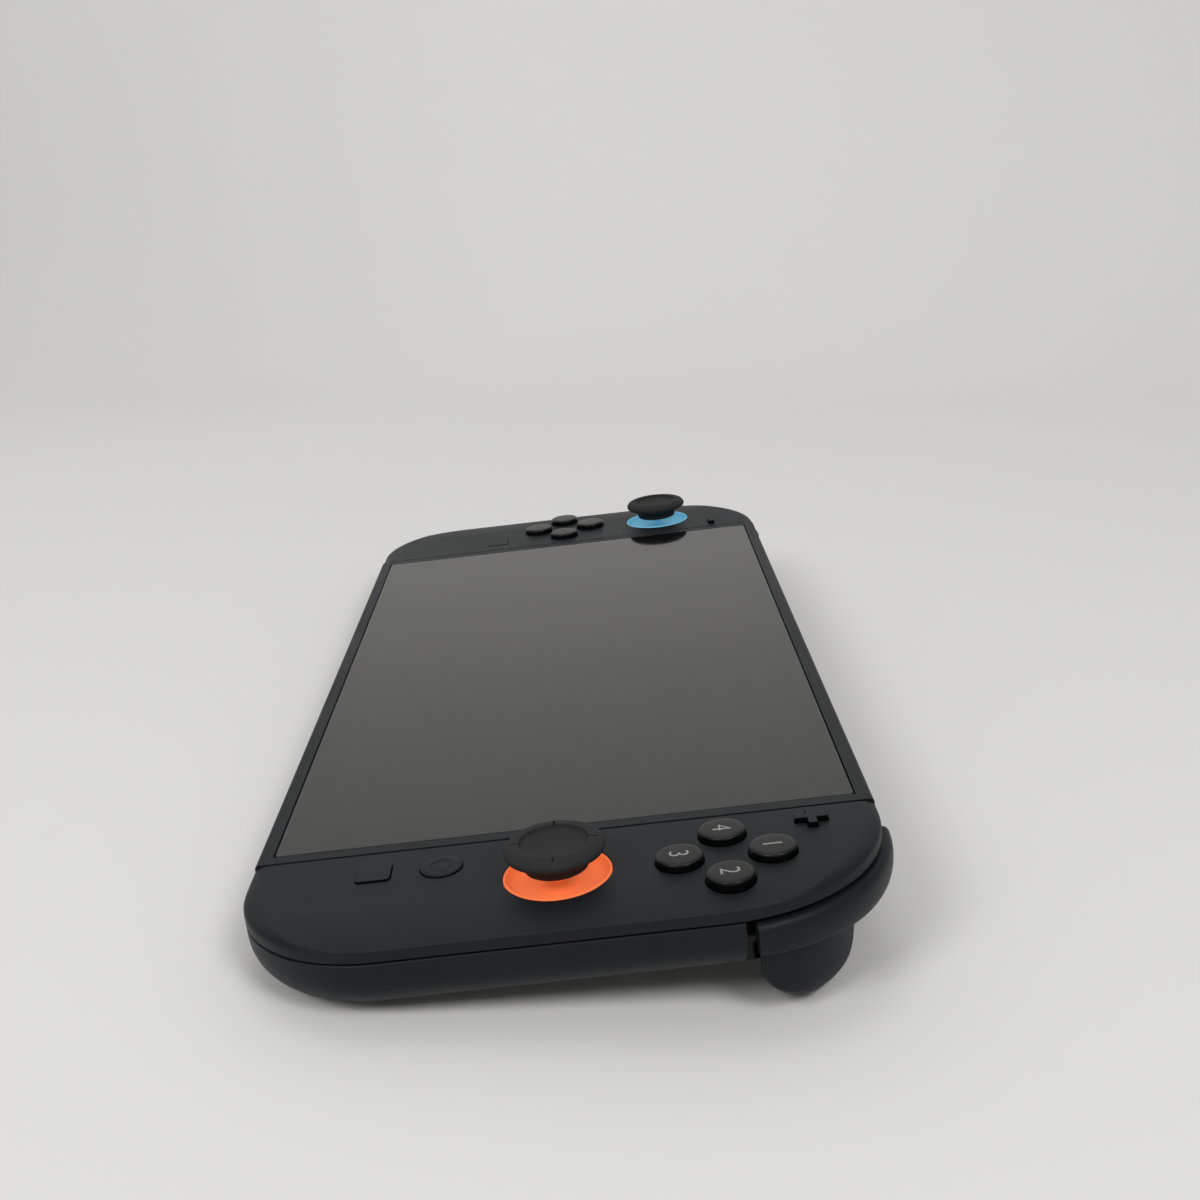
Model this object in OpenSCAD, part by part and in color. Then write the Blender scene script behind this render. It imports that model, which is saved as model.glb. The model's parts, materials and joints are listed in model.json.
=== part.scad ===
// Handheld game console: a tablet with a detachable controller docked at each end.
// It lies on its back. X runs along its length, Y to its top edge and Z out of its screen.
// The origin is the middle of the tablet's flat back. Sizes are in millimetres.
// Each controller piece is drawn for the right controller, and mirrored for the left one.

/* [Body] */
// Length with both controllers docked, which grows with the tablet
body_l = 272; // [270:0.5:276]
// Height from the bottom edge to the top edge
body_h = 116; // [115:0.5:120]
// Thickness from the back to the front face
body_t = 13.9; // [13.9:0.1:14.6]
// Length of the tablet
tablet_l = 202.8; // [201:0.2:204]
// Wall of the shells
wall = 1.4; // [1.2:0.1:1.5]
// Gap between a controller and the tablet
dock_gap = 0.2; // [0.15:0.05:0.4]
// Gap round pieces that slide
clear = 0.25; // [0.2:0.05:0.3]
// Gap between pieces that are fixed together
seat = 0.1; // [0.05:0.05:0.15]

/* [Screen] */
// Length of the front glass, which grows with the tablet
glass_l = 197; // [194:0.5:198]
// Height of the front glass
glass_h = 109.5; // [107:0.5:111]
// Thickness of the front glass
glass_t = 0.9; // [0.7:0.1:1.1]
// Length of the display panel, which grows with the tablet
display_l = 182; // [178:1:184]
// Height of the display panel
display_h = 104; // [100:1:106]
// Thickness of the display panel
display_t = 2.3; // [2:0.1:2.5]

/* [Controller shells] */
// Radius of the upper corners
corner_top_r = 31; // [30:0.5:32]
// Radius of the lower corners
corner_low_r = 26; // [25:0.5:30]
// Height of the seam between the front and rear shells
seam_z = 10.6; // [10.6:0.1:10.9]
// Radius along the rear edge
rear_round = 9.5; // [8.5:0.25:10]
// Radius along the front edge
front_round = 2.2; // [1.8:0.1:2.6]

/* [Dock] */
// Length of a controller's tongue
tongue_l = 96; // [90:1:100]
// Height of the tongue across the body's thickness
tongue_h = 7.4; // [7:0.1:7.6]
// How far the tongue stands out of its controller
tongue_d = 3.6; // [3:0.1:4]
// Length of a rail button
rail_button_l = 16; // [12:0.5:20]
// Height of a rail button
rail_button_h = 4; // [3:0.1:4.6]
// Travel of a rail button
rail_travel = 0.5; // [0.3:0.1:0.6]

/* [Round and small buttons] */
// Diameter of a face or direction button
button_d = 8.4; // [7.8:0.1:9.2]
// Height of a face button above the shell
button_rise = 1.6; // [1.2:0.1:2]
// Travel of a button
button_travel = 0.7; // [0.4:0.1:0.7]
// Distance of each round button from the middle of its diamond
diamond_r = 8.24; // [8:0.02:8.6]
// Length of the plus and minus marks
mark_l = 6; // [5:0.1:6.4]
// Width of the plus and minus marks
mark_w = 1.65; // [1.3:0.05:2]
// Diameter of the home button
home_d = 7.7; // [7:0.1:8]
// Side of a square button
square_w = 6.2; // [5.6:0.1:6.6]

/* [Sticks] */
// Diameter of the coloured ring
ring_d = 19.4; // [19:0.1:20]
// Diameter of the cap
cap_d = 18.1; // [17:0.1:18.3]
// Height of the cap's rim above the shell
cap_rise = 6.4; // [6.4:0.1:7]
// Height of the tilt axes above the back
pivot_z = 7; // [6.9:0.05:7.1]
// Travel of the cap's click
click_travel = 0.4; // [0.2:0.1:0.5]

/* [Shoulder and trigger] */
// How far the shoulder button's bulge lies from its own centre
shoulder_r = 31.4; // [31.2:0.1:31.8]
// Thickness of the shoulder button's wall
shoulder_wall = 2.4; // [2:0.1:2.6]
// Height of the crease between the shoulder button and the trigger
crease_z = 4.2; // [4:0.1:4.5]
// How far the trigger hangs below the back
trigger_drop = 10.4; // [9.6:0.1:10.6]
// Outer radius of the trigger round its own centre
trigger_r = 26.5; // [26.3:0.1:26.8]

/* [Kickstand] */
// Width across both legs, which grows with the tablet
kick_l = 184; // [178:1:186]
// Width of a leg
kick_leg = 14; // [12:0.5:15]
// Height of the bar that joins the legs
kick_bar = 11; // [9:0.5:13]
// Thickness of the kickstand
kick_t = 1.5; // [1.3:0.1:1.6]
// Height of the hinge above the middle of the back
kick_axis_y = 4; // [2:0.5:6]

/* [Sockets] */
// Diameter of the audio jack's bore
jack_d = 3.6; // [3.55:0.01:3.7]
// Depth of the audio jack's bore
jack_depth = 12; // [11:0.5:12.5]
// Width of a USB-C socket's mouth
usb_w = 8.34; // [8.3:0.01:8.4]
// Height of a USB-C socket's mouth
usb_h = 2.56; // [2.5:0.01:2.6]

/* [Hidden] */
$fn = 64;
charcoal = "#25282b";
black = "#141516";
orange = "#ee703e";
blue = "#6bb0ce";
board_green = "#1d4a33";
steel = "#a9adb0";
RIGHT = 1;
LEFT = -1;
far = 200;

// How far each end and edge of the tablet lies beyond that of the tablet that the sizes above are given for
more_x = (tablet_l - 202.8) / 2;
more_y = (body_h - 116) / 2;
pane = [glass_l + 2 * more_x, glass_h + 2 * more_y];
panel = [display_l + 2 * more_x, display_h + 2 * more_y];
stand_l = kick_l + 2 * more_x;

// Levels through the tablet
glass_z = body_t - glass_t;
display_z = glass_z - display_t;
plate_t = 1.2;
mid_z = display_z - plate_t;
cover_h = 2.6;

// Dock between the tablet and a controller
edge_y = body_h / 2;
end_x = body_l / 2 + more_x;
dock_x = tablet_l / 2;
seam_x = dock_x + dock_gap;
tongue_z = 7.3;
rail_rise = 0.9;
recess_d = tongue_d - dock_gap + rail_rise + clear;
cavity_l = tablet_l - 2 * (recess_d + wall);
cavity_h = body_h - 2 * wall;
side_plate_t = 2.2;
rail_button_y = tongue_l * 0.27;
link_l = 11;
link_h = 2;
link_d = 2.2;
link_gap = 0.5;
tongue_r = 2;
rail_r = 1.4;
rail_lip = 0.7;

// Corners of a controller, as seen from the front
top_c = [end_x - corner_top_r, edge_y - corner_top_r];
low_c = [end_x - corner_low_r, corner_low_r - edge_y];

// Places of the controls, measured from the middle of a controller or from its inner face
control_x = (dock_x + end_x) / 2;
stick_x = control_x - 1.6;
diamond_x = control_x - 0.6;
upper_y = 28.9 + more_y / 2;
lower_y = -0.9;
mark_p = [control_x - 11.3, 45.4 + more_y];
home_p = [control_x - 8.4, -22.1 - more_y / 2];
chat_p = [control_x - 8.7, -34.4 - more_y * 0.75];
lever_size = [7.6, 5];
lever_rise = 0.8;
lever_lip = 0.5;
lever_gap = 0.4;
lever_p = [seam_x + side_plate_t + lever_gap + lever_lip + lever_size[0] / 2, 42 + more_y];
function stick_p(side) = [stick_x, side == RIGHT ? lower_y : upper_y];
function diamond_p(side) = [diamond_x, side == RIGHT ? upper_y : lower_y];
function button_p(side, angle) = diamond_p(side) + diamond_r * [cos(angle), sin(angle)];

// Levels of the button flanges, pads and boards
shell_z = body_t - wall;
flange_t = 0.8;
flange_w = 0.75;
inner_x = seam_x + side_plate_t + seat + flange_t + rail_travel + clear;
flange_z = shell_z - seat - flange_t;
board_z = 5.6;
board_t = 1;
pad_t = 0.8;
board_edge = 7;
board_low = 10;
board_gap = 0.4;
pad_z = board_z + board_t;
post_z = flange_z - button_travel - clear;
post_r = 2.4;
small_post_r = 1.4;
button_round = 0.5;
mark_rise = 1;
mark_lip = 0.4;
home_rise = 0.5;
square_rise = 0.2;
square_r = 0.6;

// Stick
ring_wall = 1.1;
ring_lip = 0.9;
ring_hole_r = 3.6;
ring_drop = 2.2;
ring_rim = 0.35;
ring_edge = 0.3;
ring_wide_r = 8.75;
ring_wide = 1.15;
ring_mid_r = 8.2;
ring_mid = 1.6;
ring_low_r = 6.6;
ring_low = 2.02;
ring_lip_t = 0.9;
cap_z = body_t + cap_rise;
cap_edge = 2.6;
cap_hub = 1.2;
skirt_r = 5.8;
skirt_t = 0.9;
skirt_z = body_t + 1.5;
skirt_edge = 0.4;
shaft_r = 1.3;
shaft_top = cap_z - 2.7;
shaft_tail = 1.6;
dome_r = 5.35;
dome_wall = 0.8;
dome_cut = 2.75;
base_w = 15;
base_wall = 1.2;
base_z = 2.2;
base_top = pivot_z + 2;
yoke_w = 9.6;
yoke_hole = 6.4;
yoke_t = 2.6;
yoke_pin_r = 1;
yoke_pin_l = base_w - 0.6;
shaft_pin_r = 0.8;
pin_gap = 0.1;

// Battery of a controller, below the stick's base
pack_gap = 2.6;
pack_y = low_c[1] - 5;
pack_h = lower_y - base_w / 2 - pack_gap - pack_y;
pack_t = 3.8;

// Shoulder button and trigger, which share a pocket in the upper corner of the rear shell
shoulder_c = top_c + [-0.3, 0.7];
trigger_c = top_c + [3.6, -1.2];
pocket_r = trigger_r - 2.5;
pocket_wall = 1.2;
pocket_from = 10;
pocket_flat = 75;
pocket_gap = 3;
pocket_x = trigger_c[0] - 3;
shoulder_from = 7.9;
shoulder_to = 86.7;
shoulder_top = seam_z - 0.35;
shoulder_round = 7.3;
shoulder_mid_z = 7.6;
trigger_from = 13.7;
trigger_to = 70;
trigger_span = trigger_to - trigger_from;
trigger_mid = (trigger_from + trigger_to) / 2;
trigger_w = 2 * trigger_r * sin(trigger_span / 2);
trigger_corner_r = trigger_w / 2 - 0.4;
trigger_tip = 11.4;
trigger_in = 13.5;
trigger_mid_r = trigger_r - 5.9;
trigger_neck = 1.6;
trigger_root = 2;
trigger_round = 7.7;
trigger_under = 0.4;
trigger_slope = 6.5;
crease_gap = 0.45;
hinge_m = 24.7;
hinge_z = 2.9;
hinge_t = 7;
hinge_ear = 2;
hinge_r = 1;
hinge_pin_r = 0.5;
hinge_pin_l = 1.2;
hinge_arm = 2.4;

// Kickstand
kick_foot_y = 5 - edge_y;
kick_gap = 0.35;
kick_under = 0.15;
kick_skirt = 1.2;
kick_barrel_r = 1.4;
kick_axis_z = kick_barrel_r + 0.05;
kick_pin_r = 0.7;
kick_pin_l = 1.4;
kick_floor = 1;
kick_boss_z = 4.2;
kick_boss_w = 3;
kick_boss_h = 11;
kick_boss_y = 2;
kick_notch = [6, 2.6];
leg_x = (stand_l - kick_leg) / 2;

// Tablet insides
front_edge_r = 0.8;
back_edge_r = 2.4;
through = 6;
outlet = [2, 4];
outlet_pitch = 4;
outlet_z = 4.6;
slot = [1.5, 2.8];
slot_pitch = 3;
slot_z = 5.2;
slot_pairs = 3;
inlet = [1.6, 16];
inlet_pitch = 4;
inlet_pairs = 6;
peg_r = 1.5;
peg_in = 4;
socket_z = 6.4;
usb_l = 7.4;
usb_wall = 0.3;
usb_sunk = 0.2;
usb_tongue = [6.7, 0.7];
usb_top_x = -46 - more_x;
jack_x = 80 + more_x;
jack_nose_r = 2.6;
jack_w = 6.2;
jack_h = 5.4;
fan_p = [-10, 30 + more_y];
fan_w = 42;
fan_z = 3.6;
fan_r = 18.2;
fan_gap = 1;
fan_pin_r = 1.2;
fan_lid = 0.8;
fan_inlet_r = 12;
fan_hub_r = 8;
fan_root_r = 6.5;
fan_sweep = 24;
fan_blades = 13;
sink_y = fan_p[1] + fan_w / 2 + 0.6;
sink_x = [fan_p[0] - fan_w / 2, 55 + more_x];
sink_top = edge_y - wall - 0.3;
fin_t = 0.6;
fin_pitch = 3;
fin_z = 3.8;
spreader_t = 1.4;
paste = 0.1;
chip_p = [39 + more_x, 30 + more_y];
chip_w = [14, 16];
chip_t = 0.5;
pcb_x = [36 + more_x, 86 + more_x];
pcb_y = [-43 - more_y, 50 + more_y];
pcb_z = 7.2;
pcb_t = 1;
reader_x = [58 + more_x, 84 + more_x];
reader_d = 30;
reader_h = 3.6;
reader_wall = 1.5;
reader_floor = 0.6;
reader_slot = 2.4;
speaker = [24, 7, 4.4];
speaker_x = 55 + more_x;
speaker_z = 4.4;
speaker_rim = 2;
screw_in = 11.4;
screw_far = 6;
screw_y = [edge_y - 8, kick_axis_y + 18];
screw_x = dock_x - screw_in;
low_screw = [stand_l / 2 - kick_leg - screw_far, kick_foot_y + kick_bar + screw_far];
screw_p = [
    [-screw_x, screw_y[0]], [screw_x, screw_y[0]], [-screw_x, screw_y[1]], [screw_x, screw_y[1]],
    [-low_screw[0], low_screw[1]], low_screw
];
cell_p = [8 - low_screw[0], -46 - more_y];
cell_gap = [6, 3];
cell = [pcb_x[0] - cell_gap[0] - cell_p[0], fan_p[1] - fan_w / 2 - cell_gap[1] - cell_p[1], 4.8];
boss_r = 2.4;
screw_r = 0.7;
screw_l = 7;
head_r = 1.5;
head_h = 0.8;
power_x = -86 - more_x;
power_size = [9, 3];
volume_x = -64 - more_x;
volume_size = [20, 3];
edge_rise = 0.6;
edge_button_r = 1.2;
rocker_gap = 0.45;
rocker_rib_r = 0.5;
rocker_rib_in = 0.15;
door_x = [57.2 + more_x, 84.8 + more_x];
door_z = [4.6, 9.2];
door_t = 1.2;
door_barrel_r = 0.7;
door_pin_r = 0.35;
door_pin_l = 0.9;
door_axis_y = edge_y - 0.65;

// Common shapes

// A block centred on X and Y
module slab(l, h, t) {
    translate([-l / 2, -h / 2, 0]) cube([l, h, t]);
}

// A flat rectangle with round corners, centred
module round_rect(w, h, r) {
    square([w - 2 * r, h], center = true);
    square([w, h - 2 * r], center = true);
    for (x = [-1, 1])
        for (y = [-1, 1])
            translate([x * (w / 2 - r), y * (h / 2 - r)]) circle(r);
}

// Turns a flat shape drawn in Y and Z so that it is extruded along X
module along_x(l) {
    rotate([90, 0, 90]) linear_extrude(l) children();
}

// Turns a flat shape drawn in X and Z so that it is extruded along Y
module along_y(l) {
    translate([0, l, 0]) rotate([90, 0, 0]) linear_extrude(l) children();
}

// Puts a right controller's piece on the side that it belongs to
module on_side(side) {
    if (side == RIGHT)
        children();
    else
        mirror([1, 0, 0]) children();
}

// Controller shells

// Edge of the rear shell, from the outer face at x = 0 inwards, drawn in by an inset
module rear_edge(inset) {
    r = rear_round - inset;
    translate([-$depth, inset]) square([$depth - rear_round, seam_z - inset]);
    translate([-rear_round, rear_round]) square([r, seam_z - rear_round]);
    intersection() {
        translate([-rear_round, rear_round]) circle(r);
        translate([-rear_round, inset]) square([r, r]);
    }
}

// Edge of the front shell, from the outer face at x = 0 inwards, drawn in by an inset
module front_edge(inset) {
    r = max(front_round - inset, 0.3);
    c = [-inset - r, body_t - inset - r];
    translate([-$depth, seam_z]) square([$depth + c[0], body_t - inset - seam_z]);
    translate([c[0], seam_z]) square([r, c[1] - seam_z]);
    intersection() {
        translate(c) circle(r);
        translate(c) square([r, r]);
    }
}

// Gives an edge section its depth, with the outer face moved out to that depth
module edge_at(depth, out) {
    $depth = depth;
    translate([out, 0]) children();
}

// Sweeps an edge section round a controller, from the inner face at x to the outer end
module controller_form(x, z0, z1) {
    translate([top_c[0], top_c[1], 0])
        rotate_extrude(angle = 90) edge_at(corner_top_r, corner_top_r) children();
    translate([low_c[0], low_c[1], 0])
        rotate([0, 0, -90]) rotate_extrude(angle = 90) edge_at(corner_low_r, corner_low_r) children();
    translate([end_x, low_c[1], 0]) along_y(top_c[1] - low_c[1]) edge_at(corner_top_r, 0) children();
    translate([x, edge_y, 0]) along_x(top_c[0] - x) edge_at(corner_top_r, 0) children();
    mirror([0, 1, 0]) translate([x, edge_y, 0]) along_x(low_c[0] - x) edge_at(corner_low_r, 0) children();
    translate([x, low_c[1], z0]) cube([top_c[0] - x, top_c[1] - low_c[1], z1 - z0]);
}

module rear_form(inset, x) {
    controller_form(x, inset, seam_z) rear_edge(inset);
}

module front_form(inset, x) {
    controller_form(x, seam_z, body_t - inset) front_edge(inset);
}

// Cross-section of a controller near its inner face, drawn in by an inset
module controller_section(inset) {
    for (y = [0, 1])
        mirror([y, 0]) edge_at(edge_y, edge_y) {
            rear_edge(inset);
            front_edge(inset);
        }
}

// Plan of a plus, or of a minus with one bar
module mark(bars, grow) {
    square([mark_l + 2 * grow, mark_w + 2 * grow], center = true);
    if (bars > 1)
        square([mark_w + 2 * grow, mark_l + 2 * grow], center = true);
}

module front_shell(side) {
    on_side(side) difference() {
        front_form(0, seam_x);
        front_form(wall, seam_x - 1);
        translate([stick_p(side)[0], stick_p(side)[1], seam_z]) cylinder(r = ring_d / 2 + seat, h = far);
        for (a = [0:90:270])
            translate([button_p(side, a)[0], button_p(side, a)[1], seam_z])
                cylinder(r = button_d / 2 + clear, h = far);
        translate([mark_p[0], mark_p[1], seam_z]) linear_extrude(far) mark(side == RIGHT ? 2 : 1, clear);
        if (side == RIGHT) {
            translate([home_p[0], home_p[1], seam_z]) cylinder(r = home_d / 2 + clear, h = far);
            translate([chat_p[0], chat_p[1], seam_z]) square_hole();
        } else {
            translate([home_p[0], home_p[1], seam_z]) square_hole();
        }
    }
}

module square_hole() {
    linear_extrude(far) round_rect(square_w + 2 * clear, square_w + 2 * clear, square_r + clear);
}

// Sector round the trigger's centre, outside the pocket's inner wall, between two heights
module pocket_sector(from, to, r, z0, z1) {
    translate([trigger_c[0], trigger_c[1], z0]) rotate([0, 0, from]) rotate_extrude(angle = to - from)
        translate([r, 0]) square([corner_top_r, z1 - z0]);
}

// Space in the rear shell for the shoulder button and, below the crease, for the trigger
module pocket(grow) {
    r = pocket_r - grow;
    turn = grow / pocket_r * 180 / PI;
    low_z = crease_z - grow;
    top_z = seam_z + 1;
    flat_x = trigger_c[0] + r * cos(pocket_flat) + 2;
    pocket_sector(pocket_from - turn, 90, r, low_z, top_z);
    translate([pocket_x - grow, trigger_c[1] + r * sin(pocket_flat), low_z])
        cube([flat_x - pocket_x + grow, corner_top_r, top_z - low_z]);
    pocket_sector(pocket_from - turn, trigger_to + pocket_gap + turn, r, -1, crease_z + 1);
}

// Turns to the trigger's own frame: X points out of the corner and Y runs along the hinge
module at_trigger() {
    translate([trigger_c[0], trigger_c[1], 0]) rotate([0, 0, trigger_mid]) children();
}

module hinge_ears() {
    for (t = [-hinge_t, hinge_t])
        at_trigger() translate([0, t - hinge_ear / 2, 0]) {
            translate([hinge_m, 0, hinge_z]) rotate([-90, 0, 0]) cylinder(r = hinge_r, h = hinge_ear);
            translate([hinge_m - hinge_arm, 0, hinge_z - hinge_r * 0.9])
                cube([hinge_arm, hinge_ear, hinge_r * 1.8]);
        }
}

module rear_shell(side) {
    on_side(side) difference() {
        union() {
            difference() {
                rear_form(0, seam_x);
                difference() {
                    rear_form(wall, seam_x - 1);
                    pocket(pocket_wall);
                }
                pocket(0);
            }
            hinge_ears();
        }
        at_trigger() translate([hinge_m, 0, hinge_z]) rotate([90, 0, 0])
            cylinder(r = hinge_pin_r + pin_gap, h = 3 * hinge_t, center = true);
        translate([lever_p[0], lever_p[1], -1])
            slab(lever_size[0] + 2 * clear, lever_size[1] + 2 * clear, wall + 2);
    }
}

module side_plate(side) {
    on_side(side) color(side == RIGHT ? orange : blue) difference() {
        union() {
            translate([seam_x, 0, 0]) along_x(side_plate_t) controller_section(wall + seat);
            translate([seam_x - tongue_d, 0, tongue_z])
                along_x(tongue_d + 1) round_rect(tongue_l, tongue_h, tongue_r);
        }
        for (y = [-rail_button_y, rail_button_y])
            translate([0, y, tongue_z]) along_x(far)
                round_rect(rail_button_l + 2 * clear, rail_button_h + 2 * clear, rail_r + clear);
        translate([seam_x - tongue_d - 1, 0, tongue_z]) along_x(link_d + 3 * link_gap)
            square([link_l + 2 * link_gap, link_h + 2 * link_gap], center = true);
    }
}

module rail_button(side, y) {
    head_x = seam_x - tongue_d - rail_rise;
    back_x = seam_x + side_plate_t + seat;
    on_side(side) color(steel) {
        translate([head_x, y, tongue_z])
            along_x(back_x - head_x + flange_t) round_rect(rail_button_l, rail_button_h, rail_r);
        translate([back_x, y, tongue_z]) along_x(flange_t)
            round_rect(rail_button_l + 2 * rail_lip, rail_button_h + 2 * rail_lip, rail_r);
    }
}

module release_lever(side) {
    on_side(side) color(black) translate([lever_p[0], lever_p[1], 0]) {
        translate([0, 0, -lever_rise])
            slab(lever_size[0], lever_size[1], lever_rise + wall + seat + flange_t);
        translate([0, 0, wall + seat])
            slab(lever_size[0] + 2 * lever_lip, lever_size[1] + 2 * lever_lip, flange_t);
    }
}

// Controller insides

// Plan of a controller's board, drawn in by an inset
module board_plan(inset) {
    x = inner_x + inset;
    w = end_x - board_edge - inset - x;
    y = low_c[1] - board_low + inset;
    flat_y = (pocket_r - pocket_wall) * sin(pocket_flat);
    translate([x, y]) square([w, trigger_c[1] - y]);
    intersection() {
        translate(trigger_c) circle(pocket_r - pocket_wall - board_gap - inset);
        translate([x, trigger_c[1] - 1]) square([w, flat_y - board_gap - inset + 1]);
    }
}

module board(side) {
    p = stick_p(side);
    on_side(side) color(board_green) difference() {
        union() {
            translate([0, 0, board_z]) linear_extrude(board_t) board_plan(0);
            translate([p[0], p[1], base_z]) slab(base_w, base_w, base_top - base_z);
        }
        translate([p[0], p[1], base_z + 1])
            slab(base_w - 2 * base_wall, base_w - 2 * base_wall, far);
        translate([p[0], p[1], pivot_z]) rotate([0, 90, 0])
            cylinder(r = yoke_pin_r + pin_gap, h = base_w + 2, center = true);
    }
}

module button_pad(side) {
    p = stick_p(side);
    small = side == RIGHT ? [mark_p, home_p, chat_p] : [mark_p, home_p];
    on_side(side) color("#5c6064") {
        difference() {
            translate([0, 0, pad_z]) linear_extrude(pad_t) board_plan(board_gap);
            translate([p[0], p[1], 0]) slab(base_w + 2 * board_gap, base_w + 2 * board_gap, far);
        }
        for (a = [0:90:270])
            translate([button_p(side, a)[0], button_p(side, a)[1], pad_z])
                cylinder(r = post_r, h = post_z - pad_z);
        for (q = small)
            translate([q[0], q[1], pad_z]) cylinder(r = small_post_r, h = post_z - pad_z);
    }
}

module controller_battery(side) {
    on_side(side) color(steel) translate([inner_x, pack_y, wall + seat])
        cube([end_x - rear_round - inner_x, pack_h, pack_t]);
}

// Buttons

module round_button(side, angle) {
    p = button_p(side, angle);
    round_r = button_d / 2 - button_round;
    top_z = body_t + button_rise;
    on_side(side) color(black) translate([p[0], p[1], 0]) {
        rotate_extrude() {
            translate([0, flange_z]) square([button_d / 2 + flange_w, flange_t]);
            translate([0, flange_z]) square([round_r, top_z - flange_z]);
            translate([0, flange_z]) square([button_d / 2, top_z - button_round - flange_z]);
            translate([round_r, top_z - button_round]) circle(button_round);
        }
    }
}

module mark_button(side) {
    on_side(side) color(black) translate([mark_p[0], mark_p[1], flange_z]) {
        cylinder(r = mark_l / 2 + mark_lip, h = flange_t);
        linear_extrude(body_t + mark_rise - flange_z) mark(side == RIGHT ? 2 : 1, 0);
    }
}

module home_button() {
    color(black) translate([home_p[0], home_p[1], flange_z]) {
        cylinder(r = home_d / 2 + flange_w, h = flange_t);
        cylinder(r = home_d / 2, h = body_t + home_rise - flange_z);
    }
}

module square_button(side, p) {
    on_side(side) color(black) translate([p[0], p[1], flange_z]) {
        linear_extrude(flange_t) round_rect(square_w + 2 * flange_w, square_w + 2 * flange_w, square_r);
        linear_extrude(body_t + square_rise - flange_z) round_rect(square_w, square_w, square_r);
    }
}

// Sticks

module at_stick(side) {
    on_side(side) translate([stick_p(side)[0], stick_p(side)[1], 0]) children();
}

module stick_ring(side) {
    r = ring_d / 2;
    low_z = body_t - ring_drop;
    lip_z = shell_z - seat;
    at_stick(side) color(side == RIGHT ? orange : blue) rotate_extrude()
        polygon([
            [r, body_t], [r - ring_rim, body_t], [ring_wide_r, body_t - ring_wide],
            [ring_mid_r, body_t - ring_mid], [ring_low_r, body_t - ring_low],
            [ring_hole_r, low_z], [ring_hole_r, low_z - ring_edge],
            [r - ring_wall, lip_z - ring_lip_t], [r + ring_lip, lip_z - ring_lip_t],
            [r + ring_lip, lip_z], [r, lip_z]
        ]);
}

module stick_yoke(side) {
    at_stick(side) color(steel) translate([0, 0, pivot_z]) difference() {
        union() {
            translate([0, 0, -yoke_t / 2]) slab(yoke_w, yoke_w, yoke_t);
            rotate([0, 90, 0]) cylinder(r = yoke_pin_r, h = yoke_pin_l, center = true);
        }
        translate([0, 0, -far / 2]) slab(yoke_hole, yoke_hole, far);
        rotate([90, 0, 0]) cylinder(r = shaft_pin_r + pin_gap, h = yoke_w + 2, center = true);
    }
}

module stick_shaft(side) {
    at_stick(side) color(black) translate([0, 0, pivot_z]) {
        translate([0, 0, -shaft_tail]) cylinder(r = shaft_r, h = shaft_top - pivot_z + shaft_tail);
        rotate([90, 0, 0]) cylinder(r = shaft_pin_r, h = yoke_w - 0.4, center = true);
        intersection() {
            difference() {
                sphere(dome_r);
                sphere(dome_r - dome_wall);
            }
            translate([0, 0, dome_cut]) slab(far, far, far);
        }
    }
}

module stick_cap(side) {
    r = cap_d / 2;
    at_stick(side) color(black) difference() {
        rotate_extrude() polygon([
            [0, skirt_z + cap_hub], [skirt_r - skirt_t, skirt_z + cap_hub],
            [skirt_r - skirt_t, skirt_z], [skirt_r - skirt_edge, skirt_z], [skirt_r, skirt_z + skirt_edge],
            [skirt_r + 0.3, cap_z - cap_edge], [r - 1.15, cap_z - cap_edge + 0.2], [r - 0.35, cap_z - 1.9],
            [r, cap_z - 1.3], [r - 0.3, cap_z - 0.5], [r - 1.2, cap_z], [r - 2.8, cap_z],
            [r - 3, cap_z - 0.55], [r - 5, cap_z - 0.75], [0, cap_z - 0.9]
        ]);
        cylinder(r = shaft_r + pin_gap, h = shaft_top + click_travel + 0.2);
    }
}

// Shoulder button and trigger

module shoulder(side) {
    on_side(side) color(charcoal) translate([shoulder_c[0], shoulder_c[1], 0]) rotate([0, 0, shoulder_from])
        rotate_extrude(angle = shoulder_to - shoulder_from) intersection() {
            translate([shoulder_r - shoulder_round, shoulder_mid_z]) circle(shoulder_round);
            translate([shoulder_r - shoulder_wall, crease_z + clear])
                square([shoulder_wall + 1, shoulder_top - crease_z - clear]);
        }
}

// Space under the back that the trigger swings through
module trigger_swing() {
    at_trigger() translate([hinge_m - 0.5, -far / 2, -trigger_under]) rotate([0, -trigger_slope, 0])
        translate([-far, 0, 0]) cube([far, far, far]);
}

// Rounds the trigger off at both ends, seen along its mid line
module trigger_outline() {
    at_trigger() along_x(far) translate([0, far / 2 - trigger_drop])
        round_rect(trigger_w, far, trigger_corner_r);
}

// Draws the trigger in from both ends towards its inner side, seen from below
module trigger_plan() {
    at_trigger() translate([trigger_tip, 0, -far / 2]) rotate([0, 0, -45]) cube(far);
}

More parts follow.
